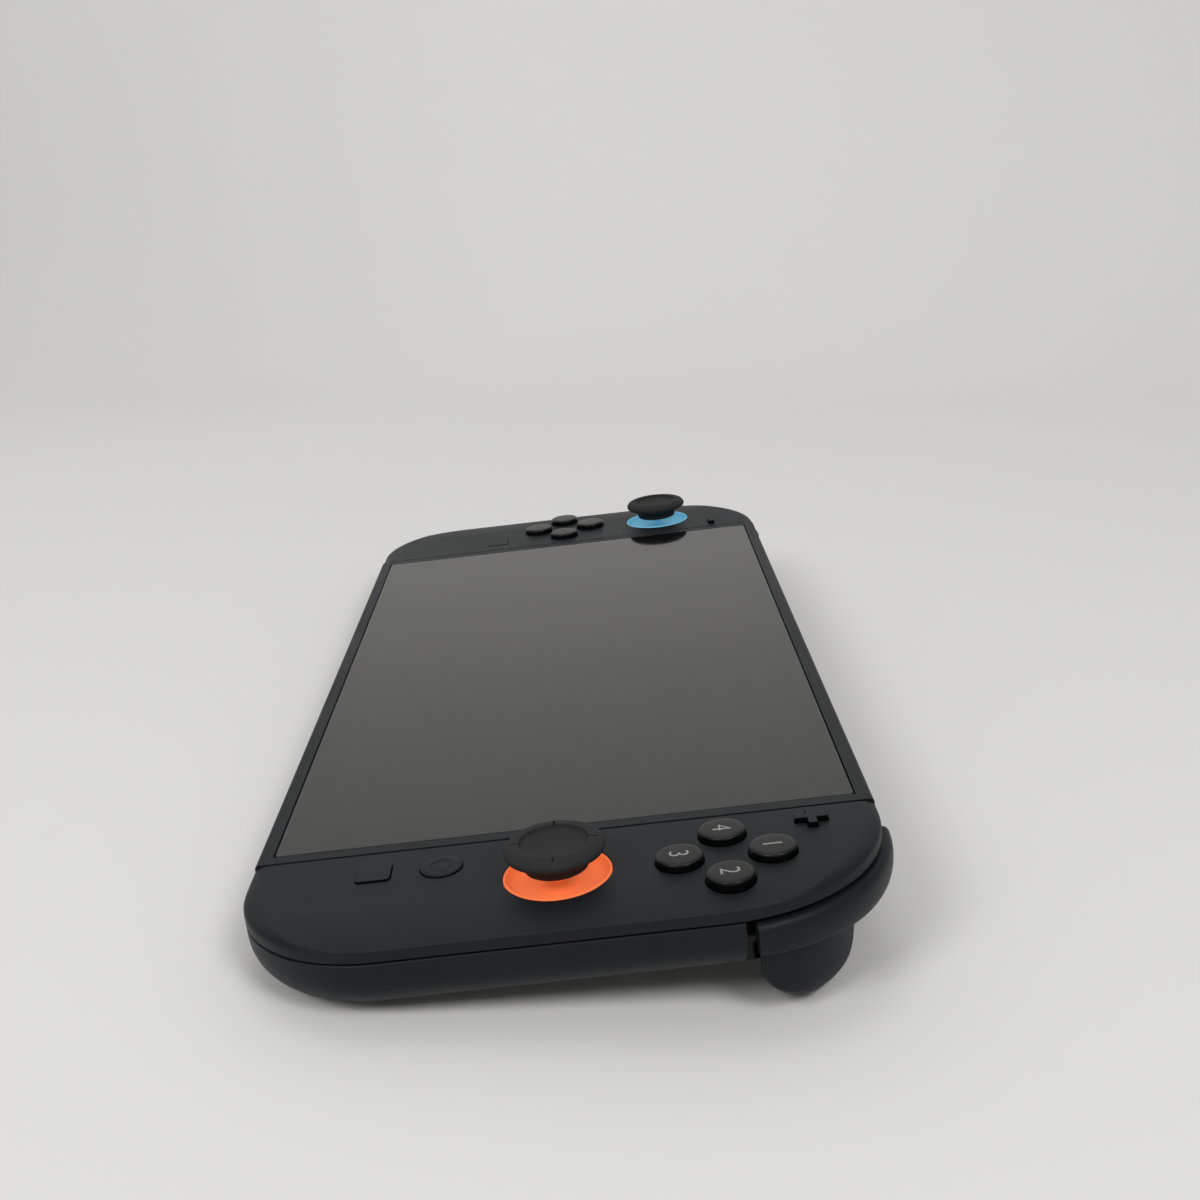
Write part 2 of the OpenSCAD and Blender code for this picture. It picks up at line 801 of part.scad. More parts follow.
module trigger(side) {
    drop = -trigger_drop + trigger_round;
    on_side(side) color(charcoal) difference() {
        union() {
            difference() {
                intersection() {
                    translate([trigger_c[0], trigger_c[1], 0]) rotate([0, 0, trigger_from])
                        rotate_extrude(angle = trigger_span) intersection() {
                            translate([trigger_mid_r, drop]) circle(trigger_round);
                            translate([trigger_in, -far])
                                square([trigger_r - trigger_in, far - trigger_under]);
                        }
                    trigger_outline();
                    trigger_plan();
                }
                trigger_swing();
            }
            intersection() {
                translate([trigger_c[0], trigger_c[1], 0]) rotate([0, 0, trigger_from])
                    rotate_extrude(angle = trigger_span)
                        translate([trigger_r - trigger_neck, -trigger_root])
                            square([trigger_neck, crease_z - crease_gap + trigger_root]);
                trigger_outline();
            }
        }
        for (t = [-hinge_t, hinge_t])
            at_trigger() translate([0, t - hinge_ear / 2 - clear, hinge_z - hinge_r - 2 * clear])
                cube([far, hinge_ear + 2 * clear, far]);
    }
    on_side(side) color(charcoal) for (t = [-hinge_t, hinge_t])
        at_trigger() translate([hinge_m, t, hinge_z]) rotate([90, 0, 0])
            cylinder(r = hinge_pin_r, h = hinge_ear + 2 * hinge_pin_l, center = true);
}

// Tablet

module front_glass() {
    color(black) translate([0, 0, glass_z]) slab(pane[0], pane[1], glass_t);
}

module display_panel() {
    color(steel) translate([0, 0, display_z]) slab(panel[0], panel[1], display_t);
}

// Long edge of the tablet in Y and Z, with a small round at the front and a larger one at the back
module tablet_section(front_r, back_r) {
    h = body_h / 2;
    difference() {
        translate([-h, 0]) square([body_h, body_t]);
        for (y = [0, 1])
            mirror([y, 0]) {
                difference() {
                    translate([h - back_r, -1]) square([back_r + 1, back_r + 1]);
                    translate([h - back_r, back_r]) circle(back_r);
                }
                difference() {
                    translate([h - front_r, body_t - front_r]) square([front_r + 1, front_r + 1]);
                    translate([h - front_r, body_t - front_r]) circle(front_r);
                }
            }
    }
}

module tablet_block(z0, z1) {
    intersection() {
        translate([-dock_x, 0, 0]) along_x(tablet_l) tablet_section(front_edge_r, back_edge_r);
        translate([0, 0, z0]) slab(tablet_l, body_h, z1 - z0);
    }
}

module each_screw() {
    for (p = screw_p)
        translate([p[0], p[1], 0]) children();
}

module edge_hole(x, size) {
    translate([x, edge_y - through / 2, socket_z])
        along_y(through) round_rect(size[0] + 2 * clear, size[1] + 2 * clear, edge_button_r + clear);
}

module frame_holes() {
    door_l = door_x[1] - door_x[0];
    door_h = door_z[1] - door_z[0] + door_barrel_r;
    // Recess that takes a controller's tongue
    for (s = [0, 1])
        mirror([s, 0, 0]) translate([dock_x - recess_d, 0, tongue_z])
            along_x(recess_d + 1) round_rect(tongue_l + 2 * clear, tongue_h + 2 * clear, tongue_r + clear);
    each_screw() cylinder(r = screw_r + seat, h = wall + screw_l);
    // Air outlet
    for (x = [sink_x[0] + outlet[0] : outlet_pitch : sink_x[1] - outlet[0]])
        translate([x, edge_y - through / 2, outlet_z]) cube([outlet[0], through, outlet[1]]);
    // Speaker slots
    for (s = [-1, 1])
        for (i = [-slot_pairs : slot_pairs])
            translate([s * speaker_x + slot_pitch * i - slot[0] / 2, -edge_y - through / 2, slot_z])
                cube([slot[0], through, slot[1]]);
    // Sockets
    translate([0, -edge_y - through / 2, socket_z]) along_y(through) usb_plan(usb_wall + seat);
    translate([usb_top_x, edge_y - through / 2, socket_z]) along_y(through) usb_plan(usb_wall + seat);
    translate([jack_x, -edge_y, socket_z]) rotate([90, 0, 0])
        cylinder(r = jack_nose_r + seat, h = through, center = true);
    // Power button, volume rocker and card door
    edge_hole(power_x, power_size);
    edge_hole(volume_x, volume_size);
    translate([door_x[0] - clear, edge_y - through / 2, door_z[0] - door_barrel_r - clear])
        cube([door_l + 2 * clear, through, door_h + 2 * clear]);
    translate([door_x[0] - door_pin_l - clear, door_axis_y, door_z[0]]) rotate([0, 90, 0])
        cylinder(r = door_pin_r + pin_gap, h = door_l + 2 * door_pin_l + 2 * clear);
}

module main_frame() {
    color(charcoal) difference() {
        union() {
            difference() {
                tablet_block(cover_h, body_t);
                translate([0, 0, glass_z]) slab(pane[0] + 2 * clear, pane[1] + 2 * clear, far);
                translate([0, 0, display_z]) slab(panel[0] + 2 * seat, panel[1] + 2 * seat, far);
                slab(cavity_l, cavity_h, mid_z);
            }
            each_screw() translate([0, 0, wall]) cylinder(r = boss_r, h = mid_z - wall + plate_t / 2);
            for (x = [pcb_x[0] + peg_in, pcb_x[1] - peg_in])
                for (y = [pcb_y[0] + peg_in, pcb_y[1] - peg_in])
                    translate([x, y, pcb_z + pcb_t])
                        cylinder(r = peg_r, h = mid_z - pcb_z - pcb_t + plate_t / 2);
        }
        frame_holes();
    }
    // Plug that meets the slot in a controller's tongue
    color(charcoal) for (s = [0, 1])
        mirror([s, 0, 0]) translate([dock_x - recess_d - wall / 2, 0, tongue_z])
            along_x(link_d + rail_rise + wall / 2) square([link_l, link_h], center = true);
}

// Plan of the kickstand, grown on every side
module kick_plan(grow) {
    h = kick_axis_y - kick_foot_y;
    difference() {
        translate([-stand_l / 2 - grow, kick_foot_y - grow]) square([stand_l + 2 * grow, h + grow]);
        translate([-stand_l / 2 + kick_leg + grow, kick_foot_y + kick_bar + grow])
            square([stand_l - 2 * kick_leg - 2 * grow, h]);
    }
}

module at_legs() {
    for (s = [-1, 1])
        translate([s * leg_x, kick_axis_y, 0]) children();
}

module leg_rod(r, l) {
    translate([0, 0, kick_axis_z]) rotate([0, 90, 0]) cylinder(r = r, h = l, center = true);
}

module rear_cover() {
    gap = kick_leg + 2 * kick_gap;
    color(charcoal) difference() {
        union() {
            difference() {
                tablet_block(0, cover_h);
                translate([0, 0, wall]) slab(cavity_l, cavity_h, far);
            }
            linear_extrude(kick_t + kick_under + kick_floor) kick_plan(kick_skirt);
            at_legs() translate([0, kick_boss_y, wall / 2])
                slab(gap + 2 * kick_boss_w, kick_boss_h, kick_boss_z - wall / 2);
        }
        translate([0, 0, -1]) linear_extrude(kick_t + kick_under + 1) kick_plan(kick_gap);
        at_legs() {
            leg_rod(kick_barrel_r + clear, gap);
            leg_rod(kick_pin_r + pin_gap, gap + 2 * kick_pin_l + 2 * clear);
            translate([0, kick_notch[0] / 2, -1]) slab(gap, kick_notch[0], kick_notch[1] + 1);
        }
        each_screw() translate([0, 0, -1]) {
            cylinder(r = head_r + seat, h = head_h + 1);
            cylinder(r = screw_r + seat, h = far);
        }
        // Air inlet
        for (i = [-inlet_pairs : inlet_pairs])
            translate([fan_p[0] + inlet_pitch * i, fan_p[1], -1]) slab(inlet[0], inlet[1], wall + 2);
    }
}

module kickstand() {
    color(charcoal) {
        linear_extrude(kick_t) kick_plan(0);
        at_legs() {
            leg_rod(kick_barrel_r, kick_leg);
            leg_rod(kick_pin_r, kick_leg + 2 * kick_gap + 2 * kick_pin_l);
        }
    }
}

module main_board() {
    reader_y = edge_y - wall - 1 - reader_d;
    reader_w = reader_x[1] - reader_x[0];
    slot_x = reader_x[0] + reader_wall;
    color(board_green) {
        difference() {
            translate([pcb_x[0], pcb_y[0], pcb_z])
                cube([pcb_x[1] - pcb_x[0], pcb_y[1] - pcb_y[0], pcb_t]);
            each_screw() cylinder(r = boss_r + 2 * clear, h = far);
        }
        translate([chip_p[0], chip_p[1], pcb_z - chip_t]) cube([chip_w[0], chip_w[1], chip_t + pcb_t / 2]);
        difference() {
            translate([reader_x[0], reader_y, pcb_z - reader_h])
                cube([reader_w, reader_d, reader_h + pcb_t / 2]);
            translate([slot_x, reader_y + 2 * reader_wall, pcb_z - reader_h + reader_floor])
                cube([reader_w - 2 * reader_wall, reader_d, reader_slot]);
        }
    }
}

module heat_sink() {
    plate_z = pcb_z - chip_t - paste - spreader_t;
    color("#b87333") {
        translate([chip_p[0], chip_p[1], plate_z]) cube([chip_w[0], sink_top - chip_p[1], spreader_t]);
        translate([sink_x[0], sink_y, plate_z])
            cube([sink_x[1] - sink_x[0], sink_top - sink_y, spreader_t]);
        for (x = [sink_x[0] : fin_pitch : sink_x[1] - fin_t])
            translate([x, sink_y, fin_z]) cube([fin_t, sink_top - sink_y, mid_z - seat - fin_z]);
    }
}

module fan_housing() {
    h = mid_z - fan_z;
    color(black) translate([fan_p[0], fan_p[1], fan_z]) {
        difference() {
            slab(fan_w, fan_w, h);
            translate([0, 0, fan_lid]) cylinder(r = fan_r + fan_gap, h = h - 2 * fan_lid);
            translate([0, 0, -fan_lid]) cylinder(r = fan_inlet_r, h = 3 * fan_lid);
            translate([0, fan_w / 2, fan_lid]) slab(2 * fan_r, fan_w, h - 2 * fan_lid);
        }
        translate([0, 0, 2 * fan_lid]) cylinder(r = fan_pin_r, h = h - 2.5 * fan_lid);
    }
}

module fan_rotor() {
    h = mid_z - fan_z - 4 * fan_lid;
    color("#3a3d40") translate([fan_p[0], fan_p[1], fan_z + 2 * fan_lid]) difference() {
        union() {
            cylinder(r = fan_hub_r, h = h);
            for (i = [0 : fan_blades - 1])
                rotate([0, 0, i * 360 / fan_blades]) translate([fan_root_r, 0, 0]) rotate([0, 0, fan_sweep])
                    cube([fan_r - fan_root_r - 0.5, fan_lid, h]);
        }
        translate([0, 0, -1]) cylinder(r = fan_pin_r + pin_gap, h = h + 2);
    }
}

module battery_pack() {
    color(steel) translate([cell_p[0], cell_p[1], mid_z - cell[2]]) cube(cell);
}

module speakers() {
    color(black) for (s = [-1, 1])
        translate([s * speaker_x, -cavity_h / 2 + seat + speaker[1] / 2, speaker_z]) difference() {
            slab(speaker[0], speaker[1], speaker[2]);
            translate([0, -speaker[1] / 2, speaker_rim / 2])
                slab(speaker[0] - 2 * speaker_rim, speaker_rim, speaker[2] - speaker_rim);
        }
}

// Mouth of a USB-C socket in X and Z, grown on every side
module usb_plan(grow) {
    round_rect(usb_w + 2 * grow, usb_h + 2 * grow, usb_h / 2 + grow - 0.02);
}

module usb_socket() {
    difference() {
        along_y(usb_l) usb_plan(usb_wall);
        translate([0, -1, 0]) along_y(usb_l) usb_plan(0);
    }
    translate([0, 1, 0]) along_y(usb_l - 1.5) square(usb_tongue, center = true);
}

module usb_sockets() {
    color(steel) {
        translate([0, -edge_y + usb_sunk, socket_z]) usb_socket();
        translate([usb_top_x, edge_y - usb_sunk, socket_z]) mirror([0, 1, 0]) usb_socket();
    }
}

module audio_jack() {
    color(black) translate([jack_x, -edge_y, socket_z]) difference() {
        union() {
            rotate([-90, 0, 0]) cylinder(r = jack_nose_r, h = wall + 2);
            translate([0, wall + seat + (jack_depth - 1) / 2, -jack_h / 2])
                slab(jack_w, jack_depth - 1, jack_h);
        }
        rotate([-90, 0, 0]) translate([0, 0, -1]) cylinder(r = jack_d / 2, h = jack_depth + 1);
    }
}

module tablet_screws() {
    color(steel) each_screw() {
        cylinder(r = head_r, h = head_h);
        cylinder(r = screw_r, h = wall + screw_l - clear);
    }
}

// Button in the top edge, with a flange inside the frame that stands off its wall by a gap
module edge_button(x, size, gap) {
    color(black) translate([x, edge_y - wall - gap - flange_t, socket_z]) {
        along_y(flange_t + gap + wall + edge_rise) round_rect(size[0], size[1], edge_button_r);
        along_y(flange_t) round_rect(size[0] + 2 * flange_t, size[1] + 2 * flange_t, edge_button_r);
    }
}

// Rocks on a round rib behind its flange
module volume_rocker() {
    edge_button(volume_x, volume_size, rocker_gap);
    color(black) translate([volume_x, edge_y - wall - rocker_gap - flange_t + rocker_rib_in, socket_z])
        cylinder(r = rocker_rib_r, h = volume_size[1] + flange_t, center = true);
}

module card_door() {
    l = door_x[1] - door_x[0];
    color(charcoal) {
        translate([door_x[0], edge_y - door_t, door_z[0]]) cube([l, door_t, door_z[1] - door_z[0]]);
        translate([door_x[0], door_axis_y, door_z[0]]) rotate([0, 90, 0]) {
            cylinder(r = door_barrel_r, h = l);
            translate([0, 0, -door_pin_l]) cylinder(r = door_pin_r, h = l + 2 * door_pin_l);
        }
    }
}

front_glass();
display_panel();
main_frame();
rear_cover();
main_board();
heat_sink();
fan_housing();
battery_pack();
speakers();
usb_sockets();
audio_jack();
tablet_screws();
kickstand();
fan_rotor();
edge_button(power_x, power_size, seat);  // power_button
volume_rocker();
card_door();
color(charcoal) front_shell(RIGHT);  // right_front_shell
color(charcoal) rear_shell(RIGHT);  // right_rear_shell
side_plate(RIGHT);  // right_side_plate
stick_ring(RIGHT);  // right_stick_ring
board(RIGHT);  // right_board
controller_battery(RIGHT);  // right_battery
button_pad(RIGHT);  // right_button_pad
round_button(RIGHT, 0);  // face_button_east
round_button(RIGHT, 270);  // face_button_south
round_button(RIGHT, 90);  // face_button_north
round_button(RIGHT, 180);  // face_button_west
mark_button(RIGHT);  // plus_button
home_button();
square_button(RIGHT, chat_p);  // chat_button
stick_yoke(RIGHT);  // right_stick_yoke
stick_shaft(RIGHT);  // right_stick_shaft
stick_cap(RIGHT);  // right_stick_cap
shoulder(RIGHT);  // right_shoulder
trigger(RIGHT);  // right_trigger
rail_button(RIGHT, rail_button_y);  // right_rail_button_upper
rail_button(RIGHT, -rail_button_y);  // right_rail_button_lower
release_lever(RIGHT);  // right_release_lever
color(charcoal) front_shell(LEFT);  // left_front_shell
color(charcoal) rear_shell(LEFT);  // left_rear_shell
side_plate(LEFT);  // left_side_plate
stick_ring(LEFT);  // left_stick_ring
board(LEFT);  // left_board
controller_battery(LEFT);  // left_battery
button_pad(LEFT);  // left_button_pad
round_button(LEFT, 180);  // direction_button_right
round_button(LEFT, 270);  // direction_button_down
round_button(LEFT, 90);  // direction_button_up
round_button(LEFT, 0);  // direction_button_left
mark_button(LEFT);  // minus_button
square_button(LEFT, home_p);  // capture_button
stick_yoke(LEFT);  // left_stick_yoke
stick_shaft(LEFT);  // left_stick_shaft
stick_cap(LEFT);  // left_stick_cap
shoulder(LEFT);  // left_shoulder
trigger(LEFT);  // left_trigger
rail_button(LEFT, rail_button_y);  // left_rail_button_upper
rail_button(LEFT, -rail_button_y);  // left_rail_button_lower
release_lever(LEFT);  // left_release_lever
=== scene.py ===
"""Looks of a handheld game console with two docked controllers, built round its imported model."""

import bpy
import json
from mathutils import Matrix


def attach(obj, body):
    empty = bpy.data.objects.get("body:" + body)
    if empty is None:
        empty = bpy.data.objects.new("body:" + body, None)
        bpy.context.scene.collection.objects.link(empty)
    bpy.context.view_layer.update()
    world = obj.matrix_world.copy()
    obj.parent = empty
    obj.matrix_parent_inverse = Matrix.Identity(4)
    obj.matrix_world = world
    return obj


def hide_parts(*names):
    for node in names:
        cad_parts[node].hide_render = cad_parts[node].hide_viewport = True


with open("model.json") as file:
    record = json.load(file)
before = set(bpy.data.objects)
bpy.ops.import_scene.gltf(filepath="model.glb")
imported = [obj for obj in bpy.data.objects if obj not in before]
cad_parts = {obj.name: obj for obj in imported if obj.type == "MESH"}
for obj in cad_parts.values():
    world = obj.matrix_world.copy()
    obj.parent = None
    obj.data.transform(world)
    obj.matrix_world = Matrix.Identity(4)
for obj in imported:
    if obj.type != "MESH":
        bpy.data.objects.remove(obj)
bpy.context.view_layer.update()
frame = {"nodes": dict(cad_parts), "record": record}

import json
import logging
import math
from dataclasses import dataclass, field, replace
from enum import Enum
from typing import Callable, ClassVar, Sequence

import bmesh
import bpy
from mathutils import Matrix, Vector

LOG = logging.getLogger("console")
MM = 0.001  # a millimetre, in metres
FAR = 200.0  # longer than any piece
MERGE = 1e-4  # points closer than this become one
NEAR = 1e-3  # how far a place may miss
TOOL_LOW, TOOL_TOP = 9.0, 16.0  # reach of the tools that open the face
BLOCK = 60.0  # side of a large square tool
Pair = tuple[float, float]
Triple = tuple[float, float, float]
Piece = bpy.types.Object


class Part(Enum):
    """Kinds of mesh element that can be selected."""

    POINT = "VERT"
    EDGE = "EDGE"
    FACE = "FACE"


class Cut(Enum):
    """Ways in which one solid acts on another."""

    AWAY = "DIFFERENCE"
    SHARED = "INTERSECT"


class Side(Enum):
    """The two controllers. Pieces are modelled on the right, and mirrored for the left."""

    RIGHT = 1
    LEFT = -1

    @property
    def word(self) -> str:
        """Give the side's name as the nodes spell it."""
        return self.name.lower()

    def node(self, part: str) -> str:
        """Give the name of this side's node or body of a kind."""
        return f"{self.word}_{part}"


# Bench: modelling steps, in millimetres


def clear_bench() -> None:
    """Leave edit mode and deselect everything."""
    if bpy.context.object and bpy.context.object.mode != "OBJECT":
        bpy.ops.object.mode_set(mode="OBJECT")
    bpy.ops.object.select_all(action="DESELECT")


def take(piece: Piece) -> None:
    """Select one piece alone and make it active."""
    clear_bench()
    piece.select_set(True)
    bpy.context.view_layer.objects.active = piece


def fix_place(piece: Piece) -> None:
    """Take a piece and write its place, turn and scale into its mesh."""
    take(piece)
    bpy.ops.object.transform_apply(location=True, rotation=True, scale=True)


def open_piece(piece: Piece) -> None:
    """Take a piece and open it in edit mode."""
    take(piece)
    bpy.ops.object.mode_set(mode="EDIT")


def pick(kind: Part, test: Callable[..., bool]) -> int:
    """Select the elements that pass a test, in edit mode.

    Args:
        kind: The kind of element to select.
        test: Says whether an element is selected.

    Returns:
        How many elements were selected.
    """
    data = bpy.context.object.data
    bpy.ops.mesh.select_mode(type=kind.value)
    bpy.ops.mesh.select_all(action="DESELECT")
    mesh = bmesh.from_edit_mesh(data)
    pools = {Part.POINT: mesh.verts, Part.EDGE: mesh.edges, Part.FACE: mesh.faces}
    found = [item for item in pools[kind] if test(item)]
    for item in found:
        item.select_set(True)
    mesh.select_flush_mode()
    bmesh.update_edit_mesh(data)
    return len(found)


def pick_all() -> None:
    """Select the whole of the open piece."""
    bpy.ops.mesh.select_all(action="SELECT")


def push(move: Triple) -> None:
    """Extrude what is selected along a move."""
    bpy.ops.mesh.extrude_region_move(TRANSFORM_OT_translate={"value": move})


def facing(z: float, height: float) -> Callable[..., bool]:
    """Make a test for flat faces at one height that point up (z 1) or down (z -1)."""
    return lambda f: f.normal.z * z > 0.9 and abs(f.calc_center_median().z - height) < NEAR


def start_piece(name: str) -> Piece:
    """Add a small flat square as the start of a piece, and open it in edit mode."""
    clear_bench()
    bpy.ops.mesh.primitive_plane_add(size=1)
    piece = bpy.context.object
    piece.name = name
    bpy.ops.object.mode_set(mode="EDIT")
    return piece


def start_sheet(name: str, size: Pair, centre: Triple) -> Piece:
    """Add a flat rectangle and open it in edit mode.

    Args:
        name: The piece's name.
        size: Its width and height.
        centre: Its middle.

    Returns:
        The new piece, with its face selected.
    """
    piece = start_piece(name)
    bpy.ops.transform.resize(value=(size[0], size[1], 1))
    bpy.ops.transform.translate(value=centre)
    return piece


def round_corners(radius: float, steps: int, test: Callable[..., bool]) -> None:
    """Round the chosen corners of a flat sheet, and select the sheet again."""
    pick(Part.POINT, test)
    bpy.ops.mesh.bevel(offset=radius, segments=steps, profile=0.5, affect="VERTICES")
    pick(Part.FACE, lambda f: True)


def lift(height: float) -> None:
    """Extrude what is selected along Z."""
    push((0, 0, height))


def step_in(path: Sequence[Pair]) -> None:
    """Inset the selected face along a path of (distance in, distance out of the face) points."""
    last = path[0]
    for point in path[1:]:
        bpy.ops.mesh.inset(thickness=point[0] - last[0], depth=point[1] - last[1])
        last = point


def close_up() -> None:
    """Merge doubles, point every face outwards and leave edit mode."""
    pick_all()
    bpy.ops.mesh.remove_doubles(threshold=MERGE)
    bpy.ops.mesh.normals_make_consistent(inside=False)
    bpy.ops.object.mode_set(mode="OBJECT")


def trace(name: str, path: Sequence[Pair]) -> Piece:
    """Draw a line of (radius, height) points in the XZ plane and leave it selected in edit mode."""
    piece = start_piece(name)
    pick(Part.POINT, lambda v: True)
    bpy.ops.mesh.merge(type="CENTER")
    bpy.ops.transform.translate(value=(path[0][0], 0, path[0][1]))
    for last, point in zip(path, path[1:]):
        step = (point[0] - last[0], 0, point[1] - last[1])
        push(step)
    pick_all()
    return piece


def turn(name: str, path: Sequence[Pair], centre: Pair, steps: int = 96) -> Piece:
    """Turn a line of (radius, height) points right round a vertical axis.

    Args:
        name: The piece's name.
        path: The line, from the axis to the axis, or closed on itself.
        centre: Where the axis stands.
        steps: How many faces go round.

    Returns:
        The closed piece.
    """
    piece = trace(name, path)
    bpy.ops.mesh.spin(steps=steps, angle=math.tau, center=(0, 0, 0), axis=(0, 0, 1))
    pick_all()
    bpy.ops.transform.translate(value=(centre[0], centre[1], 0))
    close_up()
    return piece


def sweep(name: str, path: Sequence[Pair], centre: Pair, ends: Pair, steps: int) -> Piece:
    """Turn a closed section part of the way round a vertical axis.

    Args:
        name: The piece's name.
        path: The section's (radius, height) points, without the first one again.
        centre: Where the axis stands.
        ends: The first and last angle, in degrees.
        steps: How many faces go along it.

    Returns:
        The closed piece.
    """
    piece = trace(name, [*path, path[0]])
    bpy.ops.mesh.remove_doubles(threshold=MERGE)
    pick_all()
    angle = math.radians(ends[1] - ends[0])
    bpy.ops.mesh.spin(steps=steps, angle=-angle, center=(0, 0, 0), axis=(0, 0, 1))
    pick_all()
    bpy.ops.mesh.remove_doubles(threshold=MERGE)
    bpy.ops.mesh.fill_holes(sides=0)
    close_up()
    piece.rotation_euler.z = math.radians(ends[0])
    piece.location = (centre[0], centre[1], 0)
    fix_place(piece)
    return piece


def slab(name: str, size: Triple, centre: Pair, low: float, radius: float = 0.0) -> Piece:
    """Make an upright block, with its standing edges rounded.

    Args:
        name: The piece's name.
        size: Its width, depth and height.
        centre: Where its middle stands.
        low: The height of its underside.
        radius: The radius of its standing edges.

    Returns:
        The closed piece.
    """
    piece = start_sheet(name, (size[0], size[1]), (centre[0], centre[1], low))
    if radius:
        round_corners(radius, 8, lambda v: True)
    lift(size[2])
    close_up()
    return piece


def bore(centre: Pair, radius: float) -> Piece:
    """Make the round tool that opens a hole in the face."""
    path = [(0, TOOL_LOW), (radius, TOOL_LOW), (radius, TOOL_TOP), (0, TOOL_TOP)]
    return turn("hole", path, centre)


def join(pieces: Sequence[Piece]) -> Piece:
    """Make several pieces one object, under the first one's name."""
    take(pieces[0])
    for piece in pieces[1:]:
        piece.select_set(True)
    if len(pieces) > 1:
        bpy.ops.object.join()
    return pieces[0]


def carve(piece: Piece, tools: Sequence[Piece], how: Cut = Cut.AWAY) -> None:
    """Cut a piece with solids, which are used up.

    Args:
        piece: The piece that is cut.
        tools: The solids that cut it.
        how: What is kept.
    """
    tool = join(tools)
    step = piece.modifiers.new("carve", "BOOLEAN")
    step.operation = how.value
    step.solver = "EXACT"
    step.use_self = len(tools) > 1
    step.object = tool
    take(piece)
    bpy.ops.object.modifier_apply(modifier=step.name)
    bpy.data.objects.remove(tool)


def soften(piece: Piece, width: float, steps: int = 2, angle: float = 35.0) -> None:
    """Round every edge of a piece that is sharper than an angle."""
    step = piece.modifiers.new("soften", "BEVEL")
    step.width = width
    step.segments = steps
    step.limit_method = "ANGLE"
    step.angle_limit = math.radians(angle)
    step.use_clamp_overlap = True
    step.miter_outer = "MITER_ARC"
    take(piece)
    bpy.ops.object.modifier_apply(modifier=step.name)


def copy_node(node: str, name: str) -> Piece:
    """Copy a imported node's mesh, in millimetres, merged and with its flat faces made whole."""
    clear_bench()
    piece = bpy.data.objects.new(name, frame["nodes"][node].data.copy())
    bpy.context.scene.collection.objects.link(piece)
    piece.data.materials.clear()
    piece.scale = (1 / MM,) * 3
    fix_place(piece)
    if piece.data.has_custom_normals:
        bpy.ops.mesh.customdata_custom_splitnormals_clear()
    open_piece(piece)
    pick_all()
    bpy.ops.mesh.remove_doubles(threshold=NEAR)
    bpy.ops.mesh.dissolve_limited(angle_limit=math.radians(1.0))
    close_up()
    return piece


# Finishes


class Tree:
    """Adds and joins the nodes of one shader tree."""

    def __init__(self, tree: bpy.types.NodeTree) -> None:
        """Hold the tree that the nodes go into."""
        self.tree = tree

    def add(self, kind: str, sockets: dict | None = None, **settings: object) -> bpy.types.Node:
        """Add a node.

        Args:
            kind: The node's type, without its first word.
            sockets: Values, or other nodes' outputs, by the input's name or number.
            settings: Values of the node's own settings.

        Returns:
            The new node.
        """
        node = self.tree.nodes.new("ShaderNode" + kind)
        for key, value in settings.items():
            setattr(node, key, value)
        for key, value in (sockets or {}).items():
            if isinstance(value, bpy.types.NodeSocket):
                self.tree.links.new(value, node.inputs[key])
            else:
                node.inputs[key].default_value = value
        return node

    def feed(self, node: bpy.types.Node, sources: dict[str, bpy.types.NodeSocket]) -> None:
        """Join outputs to a node's inputs, by the input's name."""
        for key, source in sources.items():
            self.tree.links.new(source, node.inputs[key])

    def math(self, operation: str, *values: object, clamp: bool = False) -> bpy.types.NodeSocket:
        """Add a sum on numbers or outputs, and return its result."""
        sockets = dict(enumerate(values))
        return self.add("Math", sockets, operation=operation, use_clamp=clamp).outputs[0]

    def spread(self, value: object, low: float, high: float, to: Pair) -> bpy.types.NodeSocket:
        """Map a value from one range to another, clamped, and return the result."""
        sockets = {0: value, 1: low, 2: high, 3: to[0], 4: to[1]}
        return self.add("MapRange", sockets).outputs[0]

    def blend(self, share: object, first: object, second: object) -> bpy.types.NodeSocket:
        """Mix two colours, and return the result."""
        return self.add("Mix", {0: share, 6: first, 7: second}, data_type="RGBA").outputs[2]


